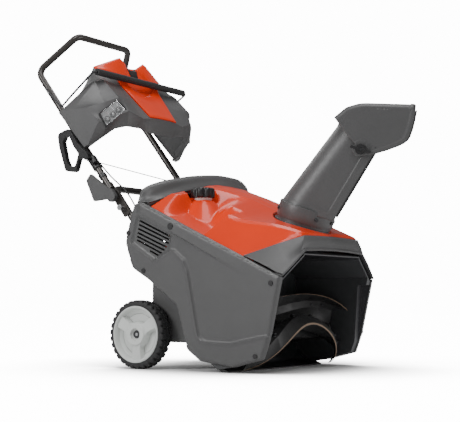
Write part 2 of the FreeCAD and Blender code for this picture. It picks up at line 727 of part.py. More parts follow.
def belt_drive():
    half = size("belt_width") / 2 + 1
    turned("auger_pulley", pulley_profile(size("auger_pulley_radius"), size("shaft_radius") + 0.02, half),
           "Sizes.belt_x", "Sizes.auger_y", "Sizes.auger_z")
    turned("drive_pulley", pulley_profile(size("drive_pulley_radius"), 10.02, half),
           "Sizes.belt_x", "Sizes.crank_y", "Sizes.crank_z")
    thick = size("belt_thick")
    outer = Part.Face(belt_loop(thick))
    band = outer.cut(Part.Face(belt_loop(0.4))).extrude(Vector(0, 0, size("belt_width") - 1))
    turn = Placement(Vector(size("belt_x") - size("belt_width") / 2 + 0.5, 0, 0),
                     Rotation(Vector(0, 1, 0), Vector(0, 0, 1), Vector(1, 0, 0), "XYZ"))
    keep_shape(band.transformed(turn.toMatrix(), copy=True), "drive_belt")
    keep_shape(rod(Vector(-150, *CRANK), Vector(263, *CRANK), 10), "crankshaft")
    # the idler arm hangs from a post and carries a flat pulley above the belt's slack side
    post = Vector(231, *IDLER_POST)
    wheel = Vector(231, -215, 289.6)
    arm = fused([rod(post, post + Vector(5, 0, 0), 12), rod(wheel, wheel + Vector(5, 0, 0), 12),
                 prism([(-219, 281), (-153, 261), (-147, 276), (-211, 297)], "YZ", 231, 5)])
    arm = arm.cut(rod(post - Vector(9, 0, 0), post + Vector(20, 0, 0), 6.05))
    stud = rod(wheel, wheel + Vector(28, 0, 0), 5)
    keep_shape(fused([arm, stud]), "idler_arm")
    wheel_start = wheel + Vector(16, 0, 0)
    disc = rod(wheel_start, wheel_start + Vector(11, 0, 0), 20)
    keep_shape(disc.cut(rod(wheel, wheel + Vector(40, 0, 0), 5.05)), "idler_pulley")


def engine():
    """A small overhead-valve engine: case, finned barrel, fan housing, silencer and tank."""
    case = box((-120, -165, 180), (130, -35, 330))
    case = case.makeFillet(12, case.Edges)
    case = case.cut(rod(Vector(-160, *CRANK), Vector(160, *CRANK), 10.05))
    barrel = [box((-32, -96, 325), (72, -34, 470))]
    for level in range(9):
        z = 338 + 14 * level
        barrel.append(box((-52, -112, z), (92, -18, z + 5)))
    keep_shape(fused([case] + barrel), "engine_block")
    shroud = rod(Vector(-205, *CRANK), Vector(-151, *CRANK), 82)
    keep_shape(shroud.cut(rod(Vector(-190, *CRANK), Vector(-140, *CRANK), 78)), "recoil_housing")
    silencer = box((105, -100, 380), (215, -30, 470))
    keep_shape(silencer.makeFillet(14, silencer.Edges), "muffler")
    tank = box((-212, -190, 372), (-60, -62, 446))
    tank = tank.makeFillet(14, tank.Edges)
    foot = Vector(size("cap_x"), size("cap_y"), 0)
    neck = rod(foot + Vector(0, 0, 430), foot + Vector(0, 0, size("cap_z") + 5), 26)
    well = rod(foot + Vector(0, 0, 440), foot + Vector(0, 0, 560), 23)
    keep_shape(fused([tank, neck]).cut(well), "fuel_tank")


def fuel_cap():
    """A screw cap with eight finger scallops round its skirt."""
    radius = size("cap_radius")
    owner = new_body("fuel_cap")
    pad(owner, add_sketch(owner, "XY_Plane", circle(0, 0, radius)), "32")
    notch = add_sketch(owner, "XY_Plane", circle(radius + 5, 0, 9), "6")
    cut = pocket(owner, notch, "30", reverse=True)
    ring = owner.newObject("PartDesign::PolarPattern", "Scallops")
    ring.Originals = [cut]
    ring.Axis = (notch, ["N_Axis"])
    ring.Angle = 360
    ring.Occurrences = 8
    owner.Tip = ring
    doc.recompute()
    hollow = add_sketch(owner, "XY_Plane", circle(0, 0, 27.5))
    pocket(owner, hollow, "6", reverse=True)
    keep(owner, "fuel_cap", "Sizes.cap_x", "Sizes.cap_y", "Sizes.cap_z")


def rear_controls():
    """Choke knob, primer bulb and key on the back wall."""
    back = 38.4
    knob = rod(Vector(-150, back, 372), Vector(-150, back + 20, 372), 14)
    keep_shape(knob.fuse(rod(Vector(-150, back - 20, 372), Vector(-150, back, 372), 4)), "choke_knob")
    bulb = Part.makeSphere(16, Vector(-100, back, 372)).common(
        box((-120, back, 350), (-80, back + 40, 390)))
    keep_shape(bulb, "primer_bulb")
    key = fused([rod(Vector(-55, back, 372), Vector(-55, back + 8, 372), 4),
                 box((-57, back + 6, 360), (-53, back + 28, 384))])
    keep_shape(key, "ignition_key")


# ---------------------------------------------------------------- handle
RAKE = radians(size("handle_rake"))


def on_handle(x, along, above):
    """A point in the handle's own frame: along its tubes, and above them to the front."""
    y = size("handle_y") + along * cos(RAKE) - above * sin(RAKE)
    z = size("handle_z") + along * sin(RAKE) + above * cos(RAKE)
    return Vector(x, y, z)


def handle_plate(x, thick, points, holes):
    """A flat plate beside a tube; its outline is (along, above)."""
    frame = Placement(on_handle(x, 0, 0), Rotation(Vector(0, cos(RAKE), sin(RAKE)),
                      Vector(0, -sin(RAKE), cos(RAKE)), Vector(1, 0, 0), "XYZ"))
    face = Part.Face(Part.Wire([e.toShape() for e in outline(points)]))
    plate = face.extrude(Vector(0, 0, thick))
    for u, v, radius in holes:
        plate = plate.cut(Part.makeCylinder(radius, 3 * thick, Vector(u, v, -thick)))
    return plate.transformed(frame.toMatrix(), copy=True)


def lower_handle():
    """A U-shaped tube that rises from the engine bay and is tied across its top."""
    half = LOWER_HALF
    foot = -170
    top = 66
    path = bent_path([on_handle(-half, foot, 0), on_handle(-half, top, 0), on_handle(half, top, 0),
                      on_handle(half, foot, 0)], 26)
    swept("lower_handle", path, "Sizes.tube_radius")


def upper_handle():
    """The long loop: two straight tubes, cranked forward and inward to the grip bar."""
    half = size("tube_half_span")
    narrow = size("grip_half_span")
    right = [on_handle(-half, 62, 0), on_handle(-half, 580, 0), Vector(-narrow, 376, 1078)]
    left = [Vector(-p.x, p.y, p.z) for p in reversed(right)]
    swept("upper_handle", bent_path(right + left, 34), "Sizes.tube_radius")
    pivot = size("fold_pivot")
    for sign in (-1, 1):
        x = sign * (half - 6) - (0 if sign > 0 else 3)
        plate = handle_plate(x, 3, [(-44, -14, 5), (84, -14, 5), (84, 14, 5), (-44, 14, 5)],
                             [(pivot, 0, 5.05), (34, 0, 5.3)])
        keep_shape(plate, "fold_bracket_" + side(sign))
    bolts = []
    for sign in (-1, 1):
        inner = on_handle(sign * 180, pivot, 0)
        outer = on_handle(sign * 222, pivot, 0)
        bolts.append(fused([rod(inner, outer, 5), rod(outer, outer + Vector(sign * 5, 0, 0), 9)]))
    group(bolts, "fold_bolts")


def fold_levers():
    """Cam levers that clamp the upper handle to the lower one."""
    for sign in (-1, 1):
        base = 218
        x = sign * base - (0 if sign > 0 else 14)
        boss = handle_plate(x, 14, [(16, -18, 12), (58, -18, 12), (58, 14, 12), (16, 14, 12)], [])
        blade_x = sign * (base + 5) - (0 if sign > 0 else 6)
        blade_points = [(30, -12, 6), (66, -66, 8), (140, -50, 10), (146, -22, 8), (56, 6, 6)]
        blade = handle_plate(blade_x, 6, blade_points, [])
        pin = rod(on_handle(sign * 203.5, 34, 0), on_handle(sign * (base + 2), 34, 0), 5.25)
        keep_shape(fused([boss, blade, pin]), "fold_lever_" + side(sign))


# the console's sections across the machine: for each distance from the middle plane, corners
# (along the tubes, above them) from the open underside's rear edge forwards and back over the top
CONSOLE = {
    240: [(386, 2), (223, 15), (217, 31), (246, 110), (316, 101), (352, 52), (384, 8)],
    217: [(386, 0), (223, 18), (214, 60), (224, 112), (292, 152), (375, 164), (384, 150)],
    189: [(400, 60), (240, 90), (216, 116), (238, 160), (288, 188), (376, 176), (430, 152)],
    165: [(416, 96), (250, 112), (206, 142), (238, 180), (300, 184), (378, 172), (456, 162)],
    105: [(440, 122), (232, 132), (203, 146), (218, 178), (300, 176), (374, 171), (468, 188)],
    60: [(444, 130), (222, 132), (191, 145), (221, 182), (300, 176), (378, 170), (478, 207)],
    28: [(440, 130), (222, 132), (190, 146), (222, 184), (300, 177), (372, 167), (462, 190)],
    0: [(436, 130), (222, 132), (190, 146), (222, 184), (300, 177), (370, 166), (452, 184)],
}


def console_section(x):
    """The console's corners at any distance from the middle plane."""
    stations = sorted(CONSOLE)
    outer = next(s for s in stations if s >= abs(x) - 1e-9)
    inner = max([s for s in stations if s < outer] or [0])
    share = (abs(x) - inner) / (outer - inner) if outer > inner else 0
    return [tuple(a + (b - a) * share for a, b in zip(one, two))
            for one, two in zip(CONSOLE[inner], CONSOLE[outer])]


def console_top(x, along):
    """Height of the console's top surface above the tubes."""
    top = console_section(x)[3:]
    for (s0, n0), (s1, n1) in zip(top, top[1:]):
        if s0 <= along <= s1:
            return n0 + (n1 - n0) * (along - s0) / (s1 - s0)
    return top[-1][1]


def console_solid(shrink):
    """The console's block through its sections; shrink gives the hollow inside it."""
    stations = sorted(CONSOLE)
    sections = []
    for x in [-s for s in reversed(stations[1:])] + stations:
        corners = console_section(x)
        if shrink:
            corners = inset(corners, shrink)
            rear, front = corners[0], corners[1]
            corners = [(rear[0] - 2, rear[1] - 18), (front[0] + 4, front[1] - 18)] + corners[2:]
        at = x if abs(x) < 240 or not shrink else x - (shrink if x > 0 else -shrink)
        sections.append([on_handle(at, along, above) for along, above in corners])
    return ruled_solid(sections)


LAMP = [(231, 268, 124), (220, 227, 113), (171, 247, 175), (193, 283, 181)]


def lamp_corners(sign):
    """A headlight window's corners and its outward normal."""
    corners = [on_handle(sign * x, along, above) for x, along, above in LAMP]
    normal = (corners[1] - corners[0]).cross(corners[2] - corners[0]).normalize()
    if normal.y > 0:
        normal = normal * -1
    corners[3] = corners[3] - normal * (corners[3] - corners[0]).dot(normal)
    return corners, normal


def console():
    """The moulded light housing across the handle and its cover."""
    shell = console_solid(0).cut(console_solid(WALL + 1))
    half = size("tube_half_span")
    for sign in (-1, 1):
        shell = shell.cut(rod(on_handle(sign * half, 150, 0), on_handle(sign * half, 520, 0),
                              size("tube_radius") + 0.3))
        corners, normal = lamp_corners(sign)
        window = ruled_solid([[c - normal * 9 for c in corners], [c + normal * 40 for c in corners]])
        shell = shell.cut(window)
    keep_shape(shell, "console_housing")
    rows = []
    for along, half_width in ((226, 68), (300, 84), (372, 98), (440, 100)):
        row = []
        for k in range(-6, 7):
            x = half_width * k / 6
            row.append(on_handle(x, along, console_top(x, along) + 1.7))
        rows.append(row)
    keep_shape(quilt(rows, on_handle(0, 0, 2.5) - on_handle(0, 0, 0)), "console_cover")


def headlights():
    """In each wing a clear lens, and behind it a deep reflector with three light modules."""
    lenses = []
    reflectors = []
    for sign in (-1, 1):
        corners, normal = lamp_corners(sign)
        middle = (corners[0] + corners[1] + corners[2] + corners[3]) * 0.25
        fitted = [middle + (c - middle) * 0.985 for c in corners]
        lenses.append(ruled_solid([[c - normal * 2 for c in fitted], [c for c in fitted]]))
        tray = ruled_solid([[c - normal * 9 for c in fitted], [c - normal * 2.2 for c in fitted]])
        inner = [middle + (c - middle) * 0.92 for c in corners]
        tray = tray.cut(ruled_solid([[c - normal * 7.5 for c in inner], [c for c in inner]]))
        for share in (0.2, 0.5, 0.8):
            low = inner[1] + (inner[2] - inner[1]) * share
            high = inner[0] + (inner[3] - inner[0]) * share
            seat = low + (high - low) * 0.32
            tray = tray.fuse(rod(seat - normal * 8, seat - normal * 3.4, 6))
        reflectors.append(tray)
    group(lenses, "headlight_lenses")
    group(reflectors, "headlight_reflectors")


BAIL_BAR = (385, 194)


def bail():
    """The operator's bar: a bent rod on both tubes with a foam grip."""
    pivot = size("bail_pivot")
    right = [on_handle(-225.5, pivot, 0), on_handle(-225.5, 402, 14), on_handle(-236, 394, 80),
             on_handle(-243, *BAIL_BAR)]
    left = [Vector(-p.x, p.y, p.z) for p in reversed(right)]
    swept("bail_rod", bent_path(right + left, 12), "Sizes.bail_rod_radius")
    start = on_handle(-228, *BAIL_BAR)
    end = on_handle(224, *BAIL_BAR)
    foam = rod(start, end, size("bail_grip_radius")).cut(rod(start, end, size("bail_rod_radius") + 0.02))
    keep_shape(foam, "bail_grip")


ROPE_IN = Vector(10, 78, 584)


def rope_and_cables():
    """The rope guide, the starter rope and the bail's cable."""
    tube = size("tube_half_span")
    guide_at = 170
    collar = rod(on_handle(-tube, guide_at - 22, 0), on_handle(-tube, guide_at + 22, 0), 15)
    eye = rod(on_handle(-tube - 16, guide_at - 10, 12), on_handle(-tube - 16, guide_at + 2, 12), 9)
    block = fused([collar, eye])
    block = block.cut(rod(on_handle(-tube, guide_at - 40, 0), on_handle(-tube, guide_at + 40, 0), 11.02))
    keep_shape(block, "rope_guide")
    start = on_handle(-tube - 12, guide_at - 12, 18)
    keep_shape(rod(start, ROPE_IN, 1.8), "starter_rope")
    cable = bent_path([on_handle(-191, 190, 2), on_handle(-190, 110, 12), on_handle(-188, 20, 30),
                       on_handle(-180, -70, 18), on_handle(-178, -150, 2)], 90)
    swept("bail_cable", cable, "2.6")


def starter_grip():
    """A D-shaped pull handle, hanging by its neck at the guide."""
    x = -236
    outer = [(423, 662, 12), (400, 640, 6), (388, 650, 5), (394, 664, 8), (437, 700, 30), (470, 748, 14),
             (492, 744, 12), (521, 734, 14), (512, 690, 60), (484, 612, 14), (440, 606, 16)]
    shift = -165
    outer = [(u + shift, v, *rest) for u, v, *rest in outer]
    hole = [(430, 664, 8), (452, 690, 20), (472, 726, 8), (488, 724, 8), (497, 708, 10), (482, 650, 30),
            (470, 628, 10), (444, 624, 10)]
    hole = [(u + shift, v, *rest) for u, v, *rest in hole]
    owner = new_body("starter_grip")
    pad(owner, add_sketch(owner, "YZ_Plane", outline(outer), f"{x - 9}"), "18")
    pocket(owner, add_sketch(owner, "YZ_Plane", outline(hole), f"{x - 20}"), "40", reverse=True)
    keep(owner, "starter_grip")


# ---------------------------------------------------------------- build, check and write
wheels()
auger_housing()
scraper()
side_panels()
hood()
front_lip()
rear_shroud()
rear_cover()
lower_housing()
chute_ring()
chute()
deflector()
auger()
belt_drive()
engine()
fuel_cap()
rear_controls()
lower_handle()
upper_handle()
fold_levers()
console()
headlights()
bail()
rope_and_cables()
starter_grip()
doc.recompute()

problems = [o.Name for o in doc.Objects if {"Invalid", "Error"} & set(o.State)]
problems += [label for label, obj in pieces.items() if obj.Shape.isNull() or not obj.Shape.isValid()]
if problems:
    raise RuntimeError("not sound: " + ", ".join(problems))
os.makedirs("parts", exist_ok=True)
whole = Part.makeCompound([obj.Shape for obj in pieces.values()]).BoundBox
print(len(pieces), "pieces, box", whole)
for label, obj in pieces.items():
    obj.Shape.exportStep(f"parts/{label}.step")
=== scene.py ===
import json
from math import atan2, cos, pi, radians, sin, tan

import bmesh
import bpy
import numpy as np
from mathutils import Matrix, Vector
from mathutils.geometry import delaunay_2d_cdt


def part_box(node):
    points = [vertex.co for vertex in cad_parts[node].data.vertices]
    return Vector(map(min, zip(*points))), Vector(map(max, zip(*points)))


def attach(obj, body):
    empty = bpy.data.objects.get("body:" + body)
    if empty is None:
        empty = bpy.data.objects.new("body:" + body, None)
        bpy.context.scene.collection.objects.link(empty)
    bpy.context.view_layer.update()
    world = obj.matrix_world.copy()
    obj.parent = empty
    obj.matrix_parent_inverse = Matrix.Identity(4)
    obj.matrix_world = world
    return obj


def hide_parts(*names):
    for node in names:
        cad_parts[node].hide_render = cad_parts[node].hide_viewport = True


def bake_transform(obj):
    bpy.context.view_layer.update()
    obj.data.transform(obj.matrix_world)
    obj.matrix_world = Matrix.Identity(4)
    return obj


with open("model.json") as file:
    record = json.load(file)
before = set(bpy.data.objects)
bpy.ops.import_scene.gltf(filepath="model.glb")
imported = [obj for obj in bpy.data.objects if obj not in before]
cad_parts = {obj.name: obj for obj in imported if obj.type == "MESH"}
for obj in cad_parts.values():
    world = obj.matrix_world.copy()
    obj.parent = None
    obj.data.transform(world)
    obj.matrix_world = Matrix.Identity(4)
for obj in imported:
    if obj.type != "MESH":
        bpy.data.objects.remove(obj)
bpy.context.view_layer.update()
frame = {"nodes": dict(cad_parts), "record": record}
record = frame["record"]
scene = bpy.context.scene
MM = 0.001
SIDES = ((-1, "right"), (1, "left"))
SLOT_OF = {entry["node"]: entry["material_slot"] for entry in record["subparts"]}
BODY_OF = {node: body for body, nodes in record["behaviour"]["bodies"].items() for node in nodes}


def middle(node):
    """Middle of a node's box, in metres."""
    low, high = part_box(node)
    return (Vector(low) + Vector(high)) / 2


AXLE = middle("wheel_axle")


def at(x, y, z):
    """A point in millimetres from the middle plane, the wheel axle and the ground, as metres."""
    return Vector((x * MM, AXLE.y + y * MM, z * MM))


# ------------------------------------------------------------------ materials
def finish_material(name, colour, rough, metal=0.0, grain=0.0, grain_size=900.0, tint=0.04,
                    coat=0.0, edge=0.0012, spread=0.08, shine=0.5):
    """A procedural finish: faint colour drift, uneven roughness, fine grain and softened edges."""
    material = bpy.data.materials.new(name)
    material.use_nodes = True
    nodes = material.node_tree.nodes
    links = material.node_tree.links
    shader = nodes["Principled BSDF"]
    shader.inputs["Metallic"].default_value = metal
    shader.inputs["Coat Weight"].default_value = coat
    shader.inputs["Coat Roughness"].default_value = 0.06
    shader.inputs["Specular IOR Level"].default_value = shine
    place = nodes.new("ShaderNodeTexCoord")
    drift = nodes.new("ShaderNodeTexNoise")
    drift.inputs["Scale"].default_value = 9.0
    drift.inputs["Detail"].default_value = 4.0
    links.new(place.outputs["Object"], drift.inputs["Vector"])
    ramp = nodes.new("ShaderNodeValToRGB")
    low = [max(0.0, c * (1 - tint)) for c in colour]
    high = [min(1.0, c * (1 + tint)) for c in colour]
    ramp.color_ramp.elements[0].position = 0.3
    ramp.color_ramp.elements[1].position = 0.7
    ramp.color_ramp.elements[0].color = (*low, 1)
    ramp.color_ramp.elements[1].color = (*high, 1)
    links.new(drift.outputs["Fac"], ramp.inputs["Fac"])
    links.new(ramp.outputs["Color"], shader.inputs["Base Color"])
    patch = nodes.new("ShaderNodeTexNoise")
    patch.inputs["Scale"].default_value = 60.0
    patch.inputs["Detail"].default_value = 6.0
    links.new(place.outputs["Object"], patch.inputs["Vector"])
    band = nodes.new("ShaderNodeMapRange")
    band.inputs["To Min"].default_value = max(0.02, rough - spread)
    band.inputs["To Max"].default_value = min(1.0, rough + spread)
    links.new(patch.outputs["Fac"], band.inputs["Value"])
    links.new(band.outputs["Result"], shader.inputs["Roughness"])
    bevel = nodes.new("ShaderNodeBevel")
    bevel.samples = 4
    bevel.inputs["Radius"].default_value = edge
    if grain:
        fine = nodes.new("ShaderNodeTexNoise")
        fine.inputs["Scale"].default_value = grain_size
        fine.inputs["Detail"].default_value = 2.0
        links.new(place.outputs["Object"], fine.inputs["Vector"])
        bump = nodes.new("ShaderNodeBump")
        bump.inputs["Strength"].default_value = grain
        bump.inputs["Distance"].default_value = 0.0004
        links.new(fine.outputs["Fac"], bump.inputs["Height"])
        links.new(bevel.outputs["Normal"], bump.inputs["Normal"])
        links.new(bump.outputs["Normal"], shader.inputs["Normal"])
    else:
        links.new(bevel.outputs["Normal"], shader.inputs["Normal"])
    return material


def glass_material(name):
    """Thin clear plastic that lets the light through."""
    material = finish_material(name, (0.95, 0.96, 0.97), 0.08, edge=0.0006)
    material.node_tree.nodes["Principled BSDF"].inputs["Alpha"].default_value = 0.06
    return material


LOOKS = {
    "tyre": finish_material("tyre_rubber", (0.017, 0.017, 0.018), 0.66, grain=0.5, grain_size=500),
    "rim_plastic": finish_material("rim_plastic", (0.60, 0.62, 0.60), 0.42, grain=0.2),
    "bare_steel": finish_material("bare_steel", (0.56, 0.57, 0.58), 0.3, metal=1.0),
    "black_steel": finish_material("black_steel", (0.022, 0.023, 0.025), 0.4, grain=0.15),
    "tube_paint": finish_material("tube_paint", (0.052, 0.047, 0.044), 0.3, metal=0.35, grain=0.1),
    "grey_plastic": finish_material("grey_plastic", (0.078, 0.078, 0.079), 0.4, grain=0.35),
    "orange_plastic": finish_material("orange_plastic", (0.80, 0.036, 0.0), 0.3, coat=0.3, spread=0.03,
                                      shine=0.15),
    "black_plastic": finish_material("black_plastic", (0.013, 0.013, 0.014), 0.4, grain=0.2),
    "black_rubber": finish_material("black_rubber", (0.016, 0.016, 0.016), 0.55, grain=0.3),
    "paddle_rubber": finish_material("paddle_rubber", (0.02, 0.02, 0.02), 0.5, grain=0.3),
    "foam": finish_material("foam", (0.018, 0.018, 0.019), 0.72, grain=0.8, grain_size=700),
    "clear_lens": glass_material("clear_lens"),
    "reflector": finish_material("reflector", (0.86, 0.87, 0.88), 0.12, metal=1.0, spread=0.04),
    "cast_aluminium": finish_material("cast_aluminium", (0.6, 0.6, 0.6), 0.45, metal=1.0, grain=0.4),
    "tank_plastic": finish_material("tank_plastic", (0.78, 0.77, 0.73), 0.4),
    "galvanised": finish_material("galvanised", (0.5, 0.51, 0.52), 0.4, metal=1.0, grain=0.2),
}
TAN = finish_material("tan_edge", (0.26, 0.18, 0.12), 0.6, grain=0.3)
SCOOP_PAINT = finish_material("scoop_paint", (0.062, 0.063, 0.067), 0.36, grain=0.15)


def paint(obj, look):
    """Gives an object one finish: the name of a slot, or a material of its own."""
    obj.data.materials.clear()
    obj.data.materials.append(LOOKS[look] if isinstance(look, str) else look)


# ------------------------------------------------------------------ making pieces
# points closer than WELD, in metres, become one; MESH is the spacing of a sheet's points, in millimetres
WELD = 1e-5
MESH = 4
ARC_STEPS = 6


def piece(name, verts, faces, body, nodes=(), look=None, sharp=32):
    """A new piece of the machine; it stands for nodes and moves with body."""
    shape = bmesh.new()
    corners = [shape.verts.new(v) for v in verts]
    for face in faces:
        if len(set(face)) > 2:
            try:
                shape.faces.new([corners[i] for i in face])
            except ValueError:
                pass  # the face is there already
    bmesh.ops.remove_doubles(shape, verts=shape.verts, dist=WELD)
    bmesh.ops.recalc_face_normals(shape, faces=shape.faces)
    mesh = bpy.data.meshes.new(name)
    shape.to_mesh(mesh)
    shape.free()
    mesh.polygons.foreach_set("use_smooth", [True] * len(mesh.polygons))
    mesh.set_sharp_from_angle(angle=radians(sharp))
    obj = bpy.data.objects.new(name, mesh)
    scene.collection.objects.link(obj)
    wanted = look or SLOT_OF[nodes[0]]
    paint(obj, wanted)
    if body:
        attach(obj, body)
    if nodes:
        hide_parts(*nodes)
    return obj


def node_mesh(node):
    """Corners and faces of a CAD node, in metres."""
    source = frame["nodes"][node]
    verts = [source.matrix_world @ v.co for v in source.data.vertices]
    faces = [tuple(p.vertices) for p in source.data.polygons]
    return verts, faces


def refined(node, round_off):
    """The CAD piece with its curved faces smooth and, unless round_off is 0, its edges rounded off."""
    verts, faces = node_mesh(node)
    obj = piece(node + "_finished", verts, faces, BODY_OF[node], (node,))
    if round_off:
        soften(obj, round_off)


def soften(obj, width):
    """Rounds off the edges of a piece; width is in metres."""
    bevel = obj.modifiers.new("rounding", "BEVEL")
    bevel.width = width
    bevel.segments = 3
    bevel.limit_method = "ANGLE"
    bevel.angle_limit = radians(35)
    bevel.harden_normals = False


def thicken(obj, depth, even=True):
    """Gives a sheet a wall of depth millimetres behind its outer face."""
    wall = obj.modifiers.new("wall", "SOLIDIFY")
    wall.thickness = depth * MM
    wall.offset = -1.0
    wall.use_even_offset = even


def grid_faces(rows, columns, closed=False):
    """Faces over rows of points; closed joins each row's last point to its first."""
    faces = []
    for r in range(rows - 1):
        for c in range(columns if closed else columns - 1):
            d = (c + 1) % columns
            faces.append((r * columns + c, r * columns + d, (r + 1) * columns + d, (r + 1) * columns + c))
    return faces


def torus_faces(rows, columns):
    """Faces over closed rows of points, with the last row joined to the first."""
    faces = grid_faces(rows, columns, closed=True)
    last = (rows - 1) * columns
    for c in range(columns):
        d = (c + 1) % columns
        faces.append((c, d, last + d, last + c))
    return faces


def angles(count):
    """Angles of one full turn."""
    return np.linspace(0, 2 * pi, count, endpoint=False)


def spline(points, count):
    """Catmull-Rom curve through points, evenly spread over them."""
    pts = np.array([list(p) for p in points], float)
    ends = np.vstack([2 * pts[0] - pts[1], pts, 2 * pts[-1] - pts[-2]])
    out = []
    for t in np.linspace(0, len(pts) - 1, count):
        i = min(int(t), len(pts) - 2)
        f = t - i
        a, b, c, d = ends[i], ends[i + 1], ends[i + 2], ends[i + 3]
        out.append(0.5 * (2 * b + (c - a) * f + (2 * a - 5 * b + 4 * c - d) * f ** 2
                          + (3 * b - a - 3 * c + d) * f ** 3))
    return np.array(out)


def tube(name, path, radius, body, nodes=(), look=None, sides=16):
    """A round tube along a path, with closed ends."""
    path = [Vector(p) for p in path]
    rings = []
    side = None
    for i, p in enumerate(path):
        run = (path[min(i + 1, len(path) - 1)] - path[max(i - 1, 0)]).normalized()
        if side is None:
            side = run.orthogonal().normalized()
        side = (side - run * side.dot(run)).normalized()
        other = run.cross(side)
        size = radius[i] if isinstance(radius, (list, tuple)) else radius
        rings.append([p + (side * cos(2 * pi * k / sides) + other * sin(2 * pi * k / sides)) * size
                      for k in range(sides)])
    verts = [v for ring in rings for v in ring]
    faces = grid_faces(len(rings), sides, closed=True)
    faces.append(tuple(range(sides)))
    faces.append(tuple(range(len(verts) - sides, len(verts)))[::-1])
    return piece(name, verts, faces, body, nodes, look)


def rounded(points):
    """Corners (u, v, radius) as a dense closed outline with arcs."""
    out = []
    count = len(points)
    for i, point in enumerate(points):
        here = np.array(point[:2], float)
        radius = point[2] if len(point) > 2 else 0
        if not radius:
            out.append(tuple(here))
            continue
        before = np.array(points[i - 1][:2], float) - here
        after = np.array(points[(i + 1) % count][:2], float) - here
        before /= np.linalg.norm(before)
        after /= np.linalg.norm(after)
        half = np.arccos(np.clip(before @ after, -1, 1)) / 2
        reach = radius / tan(half)
        centre = here + (before + after) / np.linalg.norm(before + after) * (radius / sin(half))
        a = here + before * reach - centre
        b = here + after * reach - centre
        start = atan2(a[1], a[0])
        turn = (atan2(b[1], b[0]) - start + pi) % (2 * pi) - pi
        for k in range(ARC_STEPS + 1):
            angle = start + turn * k / ARC_STEPS
            out.append((centre[0] + radius * cos(angle), centre[1] + radius * sin(angle)))
    return out


def spaced(points, gap, closed=True):
    """The same line with its long runs cut into parts of at least gap, and under twice that."""
    out = []
    count = len(points)
    for i in range(count if closed else count - 1):
        a = np.array(points[i], float)
        b = np.array(points[(i + 1) % count], float)
        parts = max(1, int(np.linalg.norm(b - a) / gap))
        out += [tuple(a + (b - a) * k / parts) for k in range(parts)]
    if not closed:
        out.append(tuple(points[-1]))
    return out


def inside(points, polygon):
    """Which points lie inside a polygon."""
    pts = np.asarray(points, float)
    result = np.zeros(len(pts), bool)
    poly = np.asarray(polygon, float)
    for (x1, y1), (x2, y2) in zip(poly, np.roll(poly, -1, axis=0)):
        if y1 == y2:
            continue
        cross = (pts[:, 1] < y1) != (pts[:, 1] < y2)
        result ^= cross & (pts[:, 0] < (x2 - x1) * (pts[:, 1] - y1) / (y2 - y1) + x1)
    return result


def distance(points, line, closed=True):
    """Distance of each point to a line of points."""
    pts = np.asarray(points, float)
    line = np.asarray(line, float)
    best = np.full(len(pts), 1e9)
    ends = np.roll(line, -1, axis=0) if closed else line[1:]
    for a, b in zip(line if closed else line[:-1], ends):
        run = b - a
        length = run @ run
        if length < 1e-12:
            continue
        t = np.clip((pts - a) @ run / length, 0, 1)
        best = np.minimum(best, np.linalg.norm(pts - a - t[:, None] * run, axis=1))
    return best


def filled(outline, holes, gap, lines=()):
    """Triangles over the inside of an outline less its holes; lines become edges."""
    verts = []
    edges = []
    for loop in [outline] + list(holes):
        base = len(verts)
        verts += [tuple(p) for p in loop]
        edges += [(base + i, base + (i + 1) % len(loop)) for i in range(len(loop))]
    for line in lines:
        base = len(verts)
        verts += [tuple(p) for p in line]
        edges += [(base + i, base + i + 1) for i in range(len(line) - 1)]
    low = np.min(outline, axis=0)
    high = np.max(outline, axis=0)
    us, vs = np.meshgrid(np.arange(low[0], high[0], gap), np.arange(low[1], high[1], gap))
    us = us + (np.arange(us.shape[0])[:, None] % 2) * gap / 2
    cloud = np.stack([us.ravel(), vs.ravel()], 1)
    keep = inside(cloud, outline) & (distance(cloud, outline) > gap * 0.6)
    for hole in holes:
        keep &= ~inside(cloud, hole) & (distance(cloud, hole) > gap * 0.5)
    for line in lines:
        keep &= distance(cloud, line, False) > gap * 0.5
    verts += [tuple(p) for p in cloud[keep]]
    flat = [Vector(v) for v in verts]
    points, _, tris, *_ = delaunay_2d_cdt(flat, edges, [], 0, 1e-4)
    pts = np.array([(p.x, p.y) for p in points])
    centre = np.array([pts[list(t)].mean(axis=0) for t in tris])
    good = inside(centre, outline)
    for hole in holes:
        good &= ~inside(centre, hole)
    return pts, [tuple(t) for t, g in zip(tris, good) if g]


def crease(obj, lines):
    """Marks the mesh edges that follow lines of (x, y) in millimetres as sharp."""
    near = 0.4
    mesh = obj.data
    pts = np.array([(v.co.x / MM, (v.co.y - AXLE.y) / MM) for v in mesh.vertices])
    for line in lines:
        on = distance(pts, line, False) < near
        for edge in mesh.edges:
            if on[edge.vertices[0]] and on[edge.vertices[1]]:
                edge.use_edge_sharp = True


def skirt(verts, faces, offset):
    """Grows every open edge of a sheet by an offset, so that the sheet gets a rim."""
    count = {}
    for face in faces:
        for a, b in zip(face, face[1:] + face[:1]):
            key = (min(a, b), max(a, b))
            count[key] = count.get(key, 0) + 1
    verts = list(verts)
    faces = list(faces)
    low = {}
    for a, b in [k for k, n in count.items() if n == 1]:
        for v in (a, b):
            if v not in low:
                low[v] = len(verts)
                verts.append(verts[v] + offset)
        faces.append((a, b, low[b], low[a]))
    return verts, faces


def step(edge0, edge1, x):
    """Smooth change from 0 at edge0 to 1 at edge1."""
    t = np.clip((x - edge0) / (edge1 - edge0), 0, 1)
    return t * t * (3 - 2 * t)


def lesser(a, b, k):
    """Smooth minimum."""
    h = np.clip(0.5 + 0.5 * (b - a) / k, 0, 1)
    return b * (1 - h) + a * h - k * h * (1 - h)


def greater(a, b, k):
    """Smooth maximum."""
    return -lesser(-a, -b, k)


